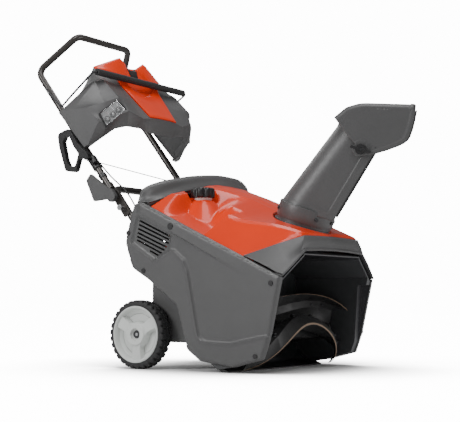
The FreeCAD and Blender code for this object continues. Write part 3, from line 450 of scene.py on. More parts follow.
def rolled(edge, width, depth):
    """How far a sheet drops towards its edge: a quarter of an ellipse of this width and depth."""
    return depth * (1 - np.sqrt(np.clip(1 - (1 - np.clip(edge / width, 0, 1)) ** 2, 0, 1)))


# ------------------------------------------------------------------ hood
CAP = middle("fuel_cap")
CAP_X = CAP.x / MM
CAP_Y = (CAP.y - AXLE.y) / MM
HOOD_EDGE = 267
HOOD_REAR = -35
CHAMFER = 3.4
CONE_TOP, CONE_RADIUS = 506, 34
HOLLOW_FLOOR, HOLLOW_RADIUS = 496, 43
NECK_STEPS = 48
CAP_STEPS = 128
CAP_LOBES = 8
# the cap's outline from its foot to its middle: radius, height, share of the lobes
CAP_OUTLINE = [(24, 0, 0), (33, 0, 0), (35.5, 1.5, 0.4), (37.5, 5, 1), (37.5, 23, 1), (36, 28, 1),
               (32, 31.2, 0.9), (27, 32, 0.7), (24, 31, 0.4), (21, 28.5, 0.1), (2, 28, 0)]
# where the hood meets the shroud behind it: across, along and height
REAR_LINE = [(-264, -35, 493), (-190, -58, 516), (-101, -65, 541), (-40, -66, 552), (9, -65, 561),
             (60, -66, 567), (87, -65, 568), (147, -65, 560), (200, -62, 547), (240, -50, 522),
             (264, -35, 494)]


def side_edge(y):
    """Height of the hood's side edge, 4 mm below the top of the side panel."""
    return 495 + 0.469 * (y + 15) - 4


def crown_line(y):
    """Height of the raised middle at x = 0, its fall to the near side, and the near side's slope."""
    centre = np.interp(y, [-507, -400, -310, -223, -125, -65], [393, 440, 477, 516, 552, 566])
    fall = 0.22 * step(-507, -280, y)
    slope = np.interp(y, [-507, -470, -277, -35], [1.17, 1.22, 1.05, 1.0])
    return centre, fall, slope


def hood_height(x, y):
    """Height of the hood: a raised middle, sloping sides, and a hollow round the cap's cone."""
    centre, fall, slope = crown_line(y)
    top = np.where(x < 0, centre + fall * x, centre + 5 * step(0, 50, x) - 0.15 * np.maximum(0, x - 110))
    edge = side_edge(y)
    near = edge + slope * (x + HOOD_EDGE)
    # A ridge runs from the panel up to the raised middle. Behind it, the side drops into the hollow.
    behind = 0.43 * (x + 264) + 0.903 * (y + 237)
    drop = near - 2.4 * np.maximum(0, behind)
    floor = edge + (0.25 + 0.5 * step(-118, -78, y)) * (x + 265) + 0.35 * np.maximum(0, x + 165)
    floor = floor + (top - floor) * step(-200, -110, x) * step(-165, -245, y)
    base = lesser(greater(drop, floor, 5), top, 0.8)
    base = lesser(base, (near + top) / 2 - CHAMFER + 90 * step(-6, 10, behind), 0.6)
    base = lesser(base, edge + 1.4 * (HOOD_EDGE - x), 2)
    reach = np.sqrt((x - CAP_X) ** 2 + (y - CAP_Y) ** 2)
    base = lesser(base, HOLLOW_FLOOR + 3.2 * np.maximum(0, reach - HOLLOW_RADIUS), 2)
    cone = CONE_TOP - np.maximum(0, reach - CONE_RADIUS)
    return greater(base, cone, 1.5)


def crest(y, side):
    """Where the chamfer between the near side and the raised middle meets either of them."""
    centre, fall, slope = crown_line(y)
    edge = side_edge(y)
    return (side * 2 * CHAMFER + centre - edge - slope * HOOD_EDGE) / (slope - fall)


def build_hood():
    """The cover, with holes for the chute and the cap, and the filler's neck."""
    ring_y = (middle("chute_ring").y - AXLE.y) / MM + 8
    rear = [(x, y) for x, y, _ in reversed(REAR_LINE)]
    rear[0] = (HOOD_EDGE, HOOD_REAR)
    rear[-1] = (-HOOD_EDGE, HOOD_REAR)
    front = [(-HOOD_EDGE, -376), (-215, -450), (-158, -507), (158, -507), (215, -450), (HOOD_EDGE, -376)]
    outline = front + rear
    chute_hole = [(89 * cos(a), ring_y + 84 * sin(a)) for a in angles(72)]
    cap_hole = [(CAP_X + 26 * cos(a), CAP_Y + 26 * sin(a)) for a in angles(40)]
    along = np.arange(-500, -280, 4.0)
    creases = [list(zip(crest(along, sign), along)) for sign in (-1, 1)]
    creases.append(spaced([(-258, -239.9), (-186, -274.1)], MESH, False))
    pts, tris = filled(spaced(outline, MESH), [chute_hole, cap_hole], MESH, creases)
    z = hood_height(pts[:, 0], pts[:, 1]) - rolled(distance(pts, outline), 7, 5)
    verts = [at(x, y, h) for (x, y), h in zip(pts, z)]
    verts, faces = skirt(verts, tris, Vector((0, 0, -12 * MM)))
    crease(piece("hood_finished", verts, faces, "chassis", ("hood",), sharp=38), creases)
    profile = [(27, 490), (27, 509), (29, 511), (29, 515), (26, 516), (23, 516), (23, 480)]
    neck = [at(CAP_X + radius * cos(a), CAP_Y + radius * sin(a), height)
            for radius, height in profile for a in angles(NECK_STEPS)]
    faces = grid_faces(len(profile), NECK_STEPS, closed=True)
    piece("filler_neck", neck, faces, "chassis", (), "tank_plastic")


def build_cap():
    """The filler cap: eight lobes round a dished top."""
    low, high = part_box("fuel_cap")
    foot = Vector((CAP.x, CAP.y, low[2]))
    tall = (high[2] - low[2]) / max(z for _, z, _ in CAP_OUTLINE)
    verts = []
    for r, z, lobes in CAP_OUTLINE:
        for a in angles(CAP_STEPS):
            size = r * (1 - 0.15 * lobes * (0.5 + 0.5 * cos(CAP_LOBES * a)) ** 2.2) * MM
            verts.append(foot + Vector((size * cos(a), size * sin(a), z * tall)))
    faces = grid_faces(len(CAP_OUTLINE), CAP_STEPS, closed=True)
    faces.append(tuple(range(len(verts) - CAP_STEPS, len(verts))))
    piece("cap_finished", verts, faces, "fuel_cap", ("fuel_cap",), sharp=40)


# ------------------------------------------------------------------ rear shroud
SHROUD_ROWS = 61
SHROUD_COLUMNS = 81
SHROUD_FOOT = 488
# behind the crown: share of the way back, of the height over the foot, and of the width
FALL = [(0.2, 1.01, 1.0), (0.42, 0.99, 0.998), (0.62, 0.92, 0.99), (0.8, 0.76, 0.975),
        (0.93, 0.52, 0.955), (0.99, 0.28, 0.945), (1.0, 0.0, 0.94)]


def build_shroud():
    """A vault that rises from the hood's rear line to its crown and falls behind."""
    front = spline(REAR_LINE, SHROUD_COLUMNS)
    crown = spline([(-262, 8, 494), (-250, -8, 530), (-222, -18, 550), (-150, -28, 571), (-80, -30, 585),
                    (-19, -30, 596), (58, -30, 605), (120, -32, 609), (180, -40, 606), (215, -44, 600),
                    (243, -50, 580), (258, -50, 548), (264, -38, 494)], SHROUD_COLUMNS)
    rows = [front + (0, 5, -14), front + (0, 2, -2), front + (0, 0, 2)]
    rows += [front * 0.62 + crown * 0.38 + (0, 1, 3), front * 0.3 + crown * 0.7 + (0, -1, 4), crown]
    back = 14 + 46 * (1 - np.clip(np.abs(crown[:, 0]) / 262, 0, 1) ** 4)
    for t, share, narrow in FALL:
        rows.append(np.stack([crown[:, 0] * narrow, crown[:, 1] + (back - crown[:, 1]) * t,
                              SHROUD_FOOT + np.maximum(0, crown[:, 2] - SHROUD_FOOT) * share], 1))
    grid = np.array(rows)
    dense = np.array([spline(grid[:, k], SHROUD_ROWS) for k in range(SHROUD_COLUMNS)]).transpose(1, 0, 2)
    verts = [at(*p) for row in dense for p in row]
    faces = grid_faces(SHROUD_ROWS, SHROUD_COLUMNS)
    thicken(piece("shroud_finished", verts, faces, "chassis", ("rear_shroud",), sharp=50), 2.5)


# ------------------------------------------------------------------ side panels
# outlines and lines of a panel, seen from its side: along and height, and the radius of a corner
PANEL = [(12, 490, 10), (-15, 495, 8), (-503, 266, 4), (-466, 102), (-443, 40, 8), (-344, 15, 60),
         (-232, 30, 30), (-187, 61, 20), (-150, 188, 24), (-43, 264, 10), (18, 299, 30), (44, 374, 40),
         (38, 407, 30)]
RIDGE = [(-126, 404), (-341, 297), (-400, 268)]
STEP = [(-70, 316), (-127, 347), (-142, 345), (-176, 318), (-191, 285), (-226, 113), (-231, 98),
        (-241, 88), (-256, 83), (-291, 81), (-342, 80), (-442, 100), (-466, 103)]
PLUG = (-132, 418)
PANEL_X = 280
RECESS = [(-2, 458, 8), (22, 373, 10), (-69, 316, 6), (-121, 347, 6), (-135, 391, 10), (-100, 412, 10)]
SLOTS = [((-9, 440), (-125, 388)), ((-7, 428), (-121, 379)), ((-4, 416), (-117, 369)),
         ((-2, 404), (-110, 358)), ((0, 393), (-102, 349)), ((0, 382), (-91, 341)), ((-49, 349), (-81, 334))]
SLOT_HALF = 2.8


def build_panels():
    """Side panels with a rolled edge, a slotted recess, a ridge, a bent step and a plug."""
    outline = spaced(rounded(PANEL), 5)
    slots = []
    for start, end in SLOTS:
        run = np.array(end, float) - start
        across = np.array((run[1], -run[0])) / np.linalg.norm(run) * SLOT_HALF
        corners = (start - across, end - across, end + across, start + across)
        slots.append(spaced([tuple(p) for p in corners], 6))
    recess = rounded(RECESS)
    lines = [spaced(recess, 5) + [recess[0]]]
    for shift in (-2.5, 2.5):
        lines.append(spaced([(u, v + shift) for u, v in RIDGE], 5, False))
    lines.append(spaced(STEP[1:], MESH, False))
    pts, tris = filled(outline, slots, MESH, lines)
    along, up = pts[:, 0], pts[:, 1]
    height = -rolled(distance(pts, outline), 8, 8)
    height -= 6 * np.where(inside(pts, recess), np.clip(distance(pts, recess) / 7, 0, 1), 0)
    front_zone = STEP + [(-500, 262)] + RIDGE[::-1]
    beside = distance(pts, STEP, False)
    height -= 3.5 * inside(pts, front_zone) * np.exp(-beside / 45) * step(0, 4, beside)
    ridge = np.interp(along, [-503, -460, -341, -126, -5, 44], [215, 236, 297, 404, 463, 486])
    fade = step(-400, -250, along) * step(0, -20, along)
    height += 4.5 * step(-1.5, 2.5, up - ridge) * fade
    height += 2.6 * np.exp(-(beside / 4.5) ** 2)
    for sign, name in SIDES:
        verts = [at(sign * (PANEL_X + h), u, v) for (u, v), h in zip(pts, height)]
        verts, faces = skirt(verts, tris, Vector((-sign * 11 * MM, 0, 0)))
        piece(f"panel_{name}_finished", verts, faces, "chassis", (f"side_panel_{name}",), sharp=40)
        plug = [at(sign * x, *PLUG) for x in (276, 285.9, 286.7)]
        tube(f"panel_plug_{name}", plug, [9.5 * MM, 9.5 * MM, 8.4 * MM], "chassis", (), "black_plastic", 28)


# ------------------------------------------------------------------ mouth frame
def build_lip():
    """The frame over the mouth: a band that bows out between its upper and its lower line."""
    top = [(-267, -376, 329), (-241, -414, 345), (-215, -452, 361), (-187, -481, 374), (-159, -510, 386),
           (-80, -510, 388), (0, -510, 389)]
    low = [(-269, -502, 272), (-248, -506, 287), (-228, -510, 302), (-198, -514, 324), (-170, -517, 344),
           (-80, -517, 348), (0, -517, 349)]
    top += [(-x, y, z) for x, y, z in reversed(top[:-1])]
    low += [(-x, y, z) for x, y, z in reversed(low[:-1])]
    top = np.array(spaced(top, 6, False))
    count = len(top)
    low = np.array([[np.interp(i / (count - 1), np.linspace(0, 1, len(low)), [p[k] for p in low])
                     for k in range(3)] for i in range(count)])
    rows = [top + (0, 6, -10), top + (0, 1, -3), top + (0, -2, -0.5)]
    for t in (0.12, 0.25, 0.45, 0.65, 0.85):
        rows.append(top * (1 - t) + low * t + np.array((0, -3.5 * sin(pi * t), 1.5 * sin(pi * t))))
    bead = [(-1.5, 4), (-4.5, 2.5), (-6, 0), (-5, -3), (-1.5, -4.5), (2, -3.5), (8, -2), (22, 2)]
    rows += [low + (0, y, z) for y, z in bead]
    verts = [at(*p) for row in rows for p in row]
    obj = piece("lip_finished", verts, grid_faces(len(rows), count), "chassis", ("front_lip",), sharp=45)
    thicken(obj, 2.2)


# ------------------------------------------------------------------ wheels
WHEEL_X = 256
TREAD_STEPS = 240
RIM_STEPS = 168
SPOKES = (radians(30), radians(150), radians(270))
# outline of a tyre: distance from its middle plane, and radius
HALF_TREAD = [(22, 84), (23, 88), (22.8, 93), (20.5, 97.5), (16, 99.6), (13.5, 99.8), (13, 96.5),
              (11.5, 96.5), (11, 101.5), (4.6, 102), (4, 98.3)]
TREAD = [(-u, r) for u, r in HALF_TREAD] + HALF_TREAD[::-1] + [(10, 83.6), (-10, 83.6)]
# radii at which the rim's outer face is worked out, and the outline of its flange, back and bore
FACE_RADII = [13, 13.6, 17, 17.8, 20, 24, 28, 31, 32, 34] + list(np.arange(36, 74, 2))
FACE_RADII += [74, 75.5, 77, 78.5, 80, 82, 83.8, 84]
RIM_BACK = [(22, 84), (-22, 84), (-22, 79), (3, 74), (3, 30), (-20, 27), (-20, 9), (15, 9), (17, 13)]


def tread_lift(u, r, k):
    """How far a shoulder block stands out of the tread, or how deep a slot is cut into it."""
    shoulder = 12.5 < abs(u) < 22.9 and r > 90
    if shoulder and k % 8 < 5:
        return 2.2
    if (shoulder and k % 8 >= 6) or (4.5 < abs(u) < 12.2 and k % 12 in (5, 6)):
        return -2.4
    return 0


def rim_face(r, angle):
    """How far the rim's outer face stands from the wheel's middle: hub, three spokes and flange."""
    if r < 13.5:
        return 17
    if r <= 17.5:
        return 19
    if r < 31.5:
        return 26
    if r < 35:
        return 26 - (r - 31) * 1.2
    if r >= 79:
        return 25.8 if r < 83 else 24.5
    if r >= 76:
        return 20 + (r - 76) * 1.8
    beside = min(abs((angle - spoke + pi) % (2 * pi) - pi) for spoke in SPOKES)
    half = 14 + (r - 34) * 0.08 + 6 * float(step(44, 34, r))
    lift = float(step(half + 5, half, r * beside))
    floor = 2 + 8 * float(step(58, 74, r))
    inner = float(step(35, 39, r))
    rim = float(step(76, 72, r))
    return (21 - 2.2 * (r - 35) / 40) * lift + (1 - lift) * (20 - (20 - floor) * inner * rim)


def build_tyre(name, centre, body):
    """A solid tyre: ribs round its middle, and blocks on its shoulders."""
    verts = []
    for u, r in TREAD:
        for k in range(TREAD_STEPS):
            out = r + tread_lift(u, r, k)
            angle = 2 * pi * k / TREAD_STEPS
            verts.append(centre + Vector((u * MM, out * cos(angle) * MM, out * sin(angle) * MM)))
    faces = torus_faces(len(TREAD), TREAD_STEPS)
    piece(f"tyre_{name}_finished", verts, faces, body, (f"tyre_{name}",), sharp=30)


def build_rim(name, sign, centre, body):
    """A moulded rim, with the end of the axle in its hub."""
    turns = [2 * pi * k / RIM_STEPS for k in range(RIM_STEPS)]
    rows = [[(rim_face(r, angle), r, angle) for angle in turns] for r in FACE_RADII]
    rows += [[(u, r, angle) for angle in turns] for u, r in RIM_BACK]
    verts = [centre + Vector((sign * out * MM, r * cos(angle) * MM, r * sin(angle) * MM))
             for row in rows for out, r, angle in row]
    stub = [centre + Vector((sign * u * MM, 0, 0)) for u in (10, 18.2)]
    tube(f"axle_end_{name}", stub, 4.6 * MM, body, (), "bare_steel", 20)
    faces = grid_faces(len(rows), RIM_STEPS, closed=True)
    piece(f"rim_{name}_finished", verts, faces, body, (f"rim_{name}",), sharp=28)


def build_wheels():
    """Both wheels, each with its tyre and its rim."""
    for sign, name in SIDES:
        centre = Vector((sign * WHEEL_X * MM, AXLE.y, AXLE.z))
        body = BODY_OF[f"tyre_{name}"]
        build_tyre(name, centre, body)
        build_rim(name, sign, centre, body)


# ------------------------------------------------------------------ chute and deflector
# tilt of the chute's ring, turn of the stored chute on it, and middle of the ring
TILT = radians(20)
TURN = radians(24.5)
CHUTE_FOOT = Vector((0, -0.421 + AXLE.y, 0.45))
CHUTE_WALL = 2.6


def in_chute(x, y, z):
    """A point of the turned chute's own frame: x across, -y to its front, z along the ring's axis."""
    p = Vector((x * cos(TURN) - y * sin(TURN), x * sin(TURN) + y * cos(TURN), z)) * MM
    p = Vector((p.x, p.y * cos(TILT) - p.z * sin(TILT), p.y * sin(TILT) + p.z * cos(TILT)))
    return CHUTE_FOOT + p


# outline of the deflector's side, to the front and up: its top, then its mouth and its underside
DEFLECTOR_TOP = [(1, 309), (12, 325), (26, 345), (44, 358), (66, 370), (100, 380), (150, 393),
                 (190, 403.5), (211, 408)]
DEFLECTOR_REST = [(217, 404), (218.5, 396), (222, 365), (223.5, 340), (222.5, 315), (219, 303), (210, 290),
                  (197, 278), (170, 257.5), (142, 239), (128, 233), (112, 225), (100, 219), (88, 224),
                  (79, 233), (77, 246), (84, 252), (60, 266)]
DEFLECTOR_HALF = 79
DEFLECTOR_ROUND = 15
DEFLECTOR_ARC = 8
# how far the plain sides lie inside the deflector's half width
SKIN = 1.2
KNOB_EAR = (103, 243)


def rim_lift(reach):
    """How far the deflector's rim stands out, at this distance from its mouth."""
    return 2.2 * step(12.5, 11, reach)


def build_deflector():
    """A hood with two flat sides, a top that rounds over into them, and a raised rim at its mouth."""
    top = spline(DEFLECTOR_TOP, 49)
    run = np.gradient(top, axis=0)
    run /= np.linalg.norm(run, axis=1)[:, None]
    inward = np.stack([run[:, 1], -run[:, 0]], 1)
    low = top + inward * DEFLECTOR_ROUND
    corner = (DEFLECTOR_REST[0][0], DEFLECTOR_REST[0][1] - 6)
    side = [tuple(p) for p in low] + [corner] + DEFLECTOR_REST[1:]
    mouth = [DEFLECTOR_TOP[-1]] + DEFLECTOR_REST[:12]
    pts, tris = filled(spaced(side, MESH), [], MESH)
    lift = rim_lift(distance(pts, mouth, False))
    ear = np.hypot(pts[:, 0] - KNOB_EAR[0], pts[:, 1] - KNOB_EAR[1])
    lift = np.maximum(lift, 2.0 * step(27.5, 25.5, ear))
    verts = []
    faces = []
    for sign in (-1, 1):
        base = len(verts)
        verts += [in_chute(sign * (DEFLECTOR_HALF + h - SKIN), -f, z) for (f, z), h in zip(pts, lift)]
        faces += [tuple(base + i for i in t) for t in tris]
    base = len(verts)
    arcs = [(-1, k) for k in range(DEFLECTOR_ARC + 1)] + [(1, k) for k in range(DEFLECTOR_ARC, -1, -1)]
    for point, way in zip(top, inward):
        band = float(rim_lift(np.hypot(*(top[-1] - point))))
        for sign, k in arcs:
            angle = pi / 2 * k / DEFLECTOR_ARC
            x = sign * (DEFLECTOR_HALF - SKIN + band - DEFLECTOR_ROUND * (1 - cos(angle)))
            foot = point + way * (DEFLECTOR_ROUND * (1 - sin(angle)) - band * sin(angle))
            verts.append(in_chute(x, -foot[0], foot[1]))
    faces += [tuple(base + i for i in f) for f in grid_faces(len(top), len(arcs))]
    obj = piece("deflector_finished", verts, faces, BODY_OF["deflector"], ("deflector",), sharp=50)
    thicken(obj, CHUTE_WALL, even=False)


COLLAR = 86
COLLAR_STEPS = 96
CHANNEL = 75
CHANNEL_TOP = 312


def build_chute():
    """The round collar, and the channel with a rounded back and a raised band at its front edges."""
    profile = [(COLLAR - 3, -12), (COLLAR - 0.5, -12), (COLLAR, -11), (COLLAR, 29.5), (COLLAR - 0.6, 31.4),
               (COLLAR - 2.5, 32), (COLLAR - 8, 32), (COLLAR - 8, 29), (COLLAR - 3, 29)]
    collar = [in_chute(r * sin(a), -r * cos(a), z) for r, z in profile for a in angles(COLLAR_STEPS)]
    rings = torus_faces(len(profile), COLLAR_STEPS)
    piece("collar_finished", collar, rings, BODY_OF["chute"], (), SLOT_OF["chute"], sharp=40)
    verts = []
    heights = list(np.arange(20, 44, 3)) + list(np.arange(44, 300, 8))
    for h in heights:
        back = 78 - 0.365 * (h - 40)
        front = -84 - 0.245 * (h - 10)
        bend = back - CHANNEL
        line = [(CHANNEL, front + (bend - front) * t) for t in np.linspace(0, 1, 40)]
        line += [(CHANNEL * cos(a), bend + CHANNEL * sin(a)) for a in np.linspace(0, pi, 41)[1:-1]]
        line += [(-CHANNEL, front + (bend - front) * t) for t in np.linspace(1, 0, 40)]
        for x, y in line:
            reach = max(0, y - front - 24)
            raised = float(step(2.0, 0.0, reach)) if y < bend else 0.0
            raised = max(raised, float(step(12, 8, h - 34)) if h < 46 else 0.0)
            top = CHANNEL_TOP + (y + 10) * tan(radians(22))
            z = min(h, top) if h < 290 else top
            grow = 1 + 2.0 * raised / CHANNEL
            verts.append(in_chute(x * grow - 0.6 * np.sign(x), y, z))
    faces = grid_faces(len(heights), len(line))
    obj = piece("chute_finished", verts, faces, BODY_OF["chute"], ("chute",), sharp=50)
    thicken(obj, CHUTE_WALL, even=False)


# ------------------------------------------------------------------ handle pieces
RAKE = radians(51.9)
HANDLE_Y, HANDLE_Z = 120, 500


def on_handle(x, along, above):
    """A point in the handle's own frame: along its tubes, and above them to the front."""
    y = HANDLE_Y + along * cos(RAKE) - above * sin(RAKE)
    z = HANDLE_Z + along * sin(RAKE) + above * cos(RAKE)
    return at(x, y, z)


ROPE = 1.8 * MM
CABLE = 2.6 * MM
ROPE_OUT = at(10, 78, 584)
ROPE_EYE = on_handle(-222, 158, 18)
CABLE_WAY = [on_handle(-191, 190, 2), on_handle(-190, 110, 12), on_handle(-188, 20, 30),
             on_handle(-180, -70, 18), on_handle(-178, -150, 2)]


def build_cords():
    """The rope from its eye on the handle to the engine, the cable along the handle, and a rope from the eye
    to the starter grip.
    """
    rope_piece = tube("rope_finished", np.linspace(ROPE_EYE, ROPE_OUT, 60), ROPE, None, ("starter_rope",))
    cable_piece = tube("cable_finished", spline(CABLE_WAY, 90), CABLE, None, ("bail_cable",))
    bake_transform(rope_piece)
    low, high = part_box("starter_grip")
    foot = Vector(((low[0] + high[0]) / 2, min(high[1], max(low[1], ROPE_EYE.y)) + 12 * MM,
                   min(high[2], max(low[2], ROPE_EYE.z)) + 6 * MM))
    pull = [ROPE_EYE.lerp(foot, t) for t in np.linspace(0, 1, 30)]
    pull_piece = tube("pull_rope", pull, ROPE, None, (), SLOT_OF["starter_rope"])
    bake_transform(pull_piece)
    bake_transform(cable_piece)


# the console's top line, along and above, at each distance from its middle
TOP = {0: [(222, 184), (300, 177), (370, 166), (452, 184)],
       28: [(222, 184), (300, 177), (372, 167), (462, 190)],
       60: [(221, 182), (300, 176), (378, 170), (478, 207)],
       105: [(218, 178), (300, 176), (374, 171), (468, 188)],
       165: [(238, 180), (300, 184), (378, 172), (456, 162)],
       189: [(238, 160), (288, 188), (376, 176), (430, 152)]}


def console_top(x, along):
    """Height of the console's top above the tubes, its corners smoothed."""
    stations = sorted(TOP)
    total = np.zeros(len(x))
    shifts = [(a, b) for a in (-12, 0, 12) for b in (-12, 0, 12)]
    for dx, ds in shifts:
        across = np.clip(np.abs(x + dx), 0, stations[-1])
        lines = np.array([np.interp(along + ds, [p[0] for p in TOP[k]], [p[1] for p in TOP[k]])
                          for k in stations])
        where = np.interp(across, stations, range(len(stations)))
        low = np.minimum(where.astype(int), len(stations) - 2)
        part = where - low
        cols = np.arange(len(x))
        total += lines[low, cols] * (1 - part) + lines[low + 1, cols] * part
    return total / len(shifts)


def build_cover():
    """The console's orange cover with its trough, and the black insert at its upper end."""
    half = [(68, 226), (76, 262), (84, 300), (92, 340), (98, 372), (105, 400), (120, 420), (166, 436),
            (168, 454), (105, 468), (60, 478), (28, 463)]
    outline = spaced([(-x, s) for x, s in reversed(half)] + half, MESH)
    seat = spaced([(-24, 452), (24, 452), (19, 424), (-19, 424)], MESH)
    pts, tris = filled(outline, [seat], MESH)
    x, along = pts[:, 0], pts[:, 1]
    trough = np.where(along < 400, 64 - np.hypot(x, along - 400), 64 - 0.5 * (along - 400) - np.abs(x))
    above = console_top(x, along) + 5.5 - 5 * step(0, 8, trough)
    above -= 2 * (1 - step(0, 5, distance(pts, outline)))
    down = on_handle(0, 0, 0) - on_handle(0, 0, 7)
    verts, faces = skirt([on_handle(*p) for p in zip(x, along, above)], tris, down)
    piece("cover_finished", verts, faces, "handle", ("console_cover",), sharp=40)
    pts, tris = filled(seat, [], MESH)
    x, along = pts[:, 0], pts[:, 1]
    above = console_top(x, along) + 2 + 2 * np.clip(distance(pts, seat) / 4, 0, 1)
    verts, faces = skirt([on_handle(*p) for p in zip(x, along, above)], tris, down)
    piece("cover_insert", verts, faces, "handle", (), "black_plastic", sharp=40)


# corners of a headlight: across, along and above
LAMP = [(231, 268, 124), (220, 227, 113), (171, 247, 175), (193, 283, 181)]
# the bezel from its inner to its outer edge: share of the headlight's size, and height over the lens
BEZEL = ((0.97, 0.2), (0.99, 1.4), (1.04, 1.6), (1.1, 1.2), (1.13, -0.5), (1.13, -3))


def build_lamps():
    """Bezels round the two clear lenses, with light modules and ribs behind them."""
    for sign, name in SIDES:
        c = [on_handle(sign * x, along, above) for x, along, above in LAMP]
        normal = (c[1] - c[0]).cross(c[2] - c[0]).normalized()
        if normal.y > 0:
            normal = -normal
        c[3] = c[3] - normal * (c[3] - c[0]).dot(normal)
        centre = (c[0] + c[1] + c[2] + c[3]) / 4
        verts = [centre + (p - centre) * grow + normal * lift * MM for grow, lift in BEZEL for p in c]
        faces = grid_faces(len(BEZEL), len(c), closed=True)
        piece(f"bezel_{name}", verts, faces, "handle", (), "black_plastic", sharp=50)
        for k, share in enumerate((0.2, 0.5, 0.8)):
            low = c[1].lerp(c[2], share)
            high = c[0].lerp(c[3], share)
            seat = low.lerp(high, 0.34)
            barrel = [seat - normal * depth * MM for depth in (8, 2.8, 2.4)]
            tube(f"module_{name}_{k}", barrel, [10 * MM, 10 * MM, 9 * MM], "handle", (), "black_plastic", 24)
            bulb = [seat - normal * depth * MM for depth in (4, 2.2)]
            tube(f"bulb_{name}_{k}", bulb, 4 * MM, "handle", (), "reflector", 20)
        for k in range(4):
            share = 0.08 + 0.28 * k
            a = c[1].lerp(c[2], share).lerp(c[0].lerp(c[3], share), 0.58) - normal * 5 * MM
            b = c[0].lerp(c[3], share) - normal * 5 * MM
            tube(f"rib_{name}_{k}", [a, a.lerp(b, 0.5), b], 1.3 * MM, "handle", (), "reflector", 8)


TUBE_X = 210
# start, end and radius of each sleeve, on the right tube and on the left tube
SLEEVES = (((146, 196, 14.0), (108, 124, 13.2)), ((96, 140, 14.5), (140, 150, 13)))


def build_sleeves():
    """Black sleeves that hold the cables on both tubes."""
    for (sign, name), spans in zip(SIDES, SLEEVES):
        for k, (start, end, radius) in enumerate(spans):
            path = [on_handle(sign * TUBE_X, s, 0) for s in (start, start + 1.5, end - 1.5, end)]
            sizes = [(radius - 1.2) * MM, radius * MM, radius * MM, (radius - 1.2) * MM]
            tube(f"sleeve_{name}_{k}", path, sizes, "handle", (), "black_plastic", 28)


# ------------------------------------------------------------------ auger
SHAFT = middle("auger_shaft")
PADDLES = (("a", 0.0), ("b", radians(-110)))
EDGE_STEPS = 73
BOLT_LAG = radians(-26) * sin(pi * 0.62)
BOLT_RADIUS = 79


def tip_angle(x):
    """Angle of a paddle's tip at x: forward and nearly level in the middle, down at both ends."""
    return radians(169 + 88 * ((x + 15) / 241) ** 2)


def paddle_frame(x, angle):
    """The shaft's middle at x, the way out from it, and the way round it, for a paddle at an angle."""
    out = Vector((0, cos(angle), sin(angle)))
    across = Vector((0, -sin(angle), cos(angle)))
    return Vector((x * MM, SHAFT.y, SHAFT.z)), out, across


def build_paddle_edges():
    """The cut edge of the rubber shows its tan cord, and bolts hold it to its strip."""
    for name, turn in PADDLES:
        verts = []
        for x in np.linspace(-256, 226, EDGE_STEPS):
            foot, out, across = paddle_frame(x, tip_angle(x) + turn)
            for radius, side in ((107.6, 2.6), (109.1, 2.6), (109.1, -2.6), (108.2, -2.6)):
                verts.append(foot + out * radius * MM + across * side * MM)
        piece(f"paddle_edge_{name}", verts, grid_faces(EDGE_STEPS, 4), "auger", (), TAN, sharp=60)
        for k, x in enumerate((-180, -60, 40, 168, 196)):
            foot, out, across = paddle_frame(x, tip_angle(x) + turn + BOLT_LAG)
            seat = foot + out * BOLT_RADIUS * MM
            for side, where in ((-1, "in"), (1, "out")):
                head = [seat + across * side * depth * MM for depth in (2, 5.4, 6.4)]
                tube(f"paddle_bolt_{name}_{k}_{where}", head, [6 * MM, 6 * MM, 4.6 * MM], "auger", (),
                     "black_steel", 12)


# ------------------------------------------------------------------ all the pieces
build_deflector()
build_chute()
build_hood()
build_cap()
build_shroud()
build_panels()
build_lip()
build_wheels()
build_cords()
build_cover()
build_lamps()
build_sleeves()
build_paddle_edges()
# how far the edges of the other CAD pieces are rounded off, in metres
ROUNDED = {"starter_grip": 0.005, "fuel_cap": 0.0018, "fold_lever_right": 0.0018, "fold_lever_left": 0.0018,
           "deflector_knob_right": 0.0014, "deflector_knob_left": 0.0014, "fold_bracket_right": 0.0008,
           "fold_bracket_left": 0.0008, "choke_knob": 0.0015, "ignition_key": 0.0008,
           "panel_screws": 0.0012, "chute_screws": 0.001, "wheel_bolts": 0.001}
for node, obj in frame["nodes"].items():
    if not obj.hide_render:
        refined(node, ROUNDED.get(node, 0.0))
# away from its neck, the tank's hidden top stays below the hollow of the hood
TANK_TOP = 0.406
NECK_REACH = 0.03
for corner in bpy.data.objects["fuel_tank_finished"].data.vertices:
    if (corner.co.xy - CAP.xy).length > NECK_REACH:
        corner.co.z = min(corner.co.z, TANK_TOP)
for node in ("deflector_studs", "wheel_bolts"):
    paint(bpy.data.objects[node + "_finished"], "black_steel")
paint(bpy.data.objects["auger_carrier_finished"], "black_plastic")
paint(bpy.data.objects["auger_housing_finished"], SCOOP_PAINT)

# ------------------------------------------------------------------ camera, floor and light
YAW, PITCH = radians(34.43), radians(4.53)
FLOOR_REACH = 12
WHITE = (1, 1, 1, 1)
# brightness of the floor and the surroundings to the viewer, and of the light that the latter give
GLOW = 14.0
SKY = 0.24

camera = bpy.data.objects.new("camera", bpy.data.cameras.new("camera"))
scene.collection.objects.link(camera)
camera.data.sensor_width = 36
camera.data.lens = 87.97
camera.data.clip_start = 0.1
camera.data.clip_end = 60
forward = Vector((cos(YAW) * cos(PITCH), sin(YAW) * cos(PITCH), sin(PITCH)))
camera.location = (-2.8818, -1.9798, 0.2035)
camera.rotation_mode = "QUATERNION"
camera.rotation_quaternion = forward.to_track_quat("-Z", "Y")
scene.camera = camera


def seen_only(tree, strength, elsewhere):
    """A strength for what the viewer sees, and another for the light that it gives."""
    ray = tree.nodes.new("ShaderNodeLightPath")
    span = tree.nodes.new("ShaderNodeMapRange")
    span.inputs["To Min"].default_value = elsewhere
    span.inputs["To Max"].default_value = strength
    tree.links.new(ray.outputs["Is Camera Ray"], span.inputs["Value"])
    return span.outputs["Result"]


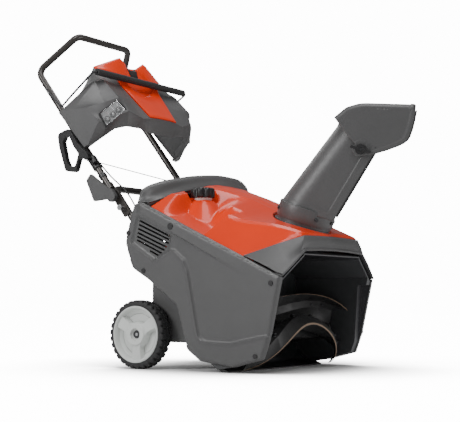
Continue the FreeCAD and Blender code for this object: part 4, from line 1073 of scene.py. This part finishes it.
floor = bpy.data.objects.new("floor", bpy.data.meshes.new("floor"))
corners = [(x * FLOOR_REACH, y * FLOOR_REACH, 0) for x, y in ((-1, -1), (1, -1), (1, 1), (-1, 1))]
floor.data.from_pydata(corners, [], [(0, 1, 2, 3)])
scene.collection.objects.link(floor)
floor_look = finish_material("pale_floor", (0.9, 0.9, 0.9), 0.75, tint=0.01)
floor_shader = floor_look.node_tree.nodes["Principled BSDF"]
floor_shader.inputs["Emission Color"].default_value = WHITE
# the floor glows less where something stands close over it, which leaves a soft shade there
tree = floor_look.node_tree
near = tree.nodes.new("ShaderNodeAmbientOcclusion")
near.inputs["Distance"].default_value = 0.7
near.samples = 16
shade = tree.nodes.new("ShaderNodeMapRange")
shade.inputs["From Min"].default_value = 0.45
shade.inputs["From Max"].default_value = 0.95
tree.links.new(near.outputs["AO"], shade.inputs["Value"])
soft = tree.nodes.new("ShaderNodeMath")
soft.operation = "POWER"
soft.inputs[1].default_value = 2.2
tree.links.new(shade.outputs["Result"], soft.inputs[0])
glow = tree.nodes.new("ShaderNodeMath")
glow.operation = "MULTIPLY"
tree.links.new(seen_only(tree, GLOW, 0.0), glow.inputs[0])
tree.links.new(soft.outputs["Value"], glow.inputs[1])
tree.links.new(glow.outputs["Value"], floor_shader.inputs["Emission Strength"])
floor.data.materials.append(floor_look)


def area_light(name, place, target, size, power):
    """A soft rectangular lamp at a place, turned to its target."""
    lamp = bpy.data.objects.new(name, bpy.data.lights.new(name, "AREA"))
    lamp.data.shape = "RECTANGLE"
    lamp.data.size = size[0]
    lamp.data.size_y = size[1]
    lamp.data.energy = power
    lamp.location = place
    lamp.rotation_mode = "QUATERNION"
    lamp.rotation_quaternion = (Vector(target) - Vector(place)).to_track_quat("-Z", "Y")
    scene.collection.objects.link(lamp)


area_light("key", (-1.6, -1.0, 3.4), (0, 0, 0.4), (1.6, 1.6), 58)
area_light("side", (-3.0, 1.3, 1.9), (0, -0.1, 0.3), (1.2, 1.6), 66)
area_light("fill", (1.5, -3.2, 0.8), (0, -0.2, 0.25), (1.4, 1.0), 30)
area_light("overhead", (0.62, 0.1, 3.1), (0, -0.2, 0.4), (0.7, 1.7), 22)
area_light("back", (1.6, 2.6, 2.8), (0, 0, 0.6), (2.2, 1.6), 22)
world = bpy.data.worlds.new("studio")
world.use_nodes = True
background = world.node_tree.nodes["Background"]
background.inputs["Color"].default_value = WHITE
world.node_tree.links.new(seen_only(world.node_tree, GLOW, SKY), background.inputs["Strength"])
scene.world = world
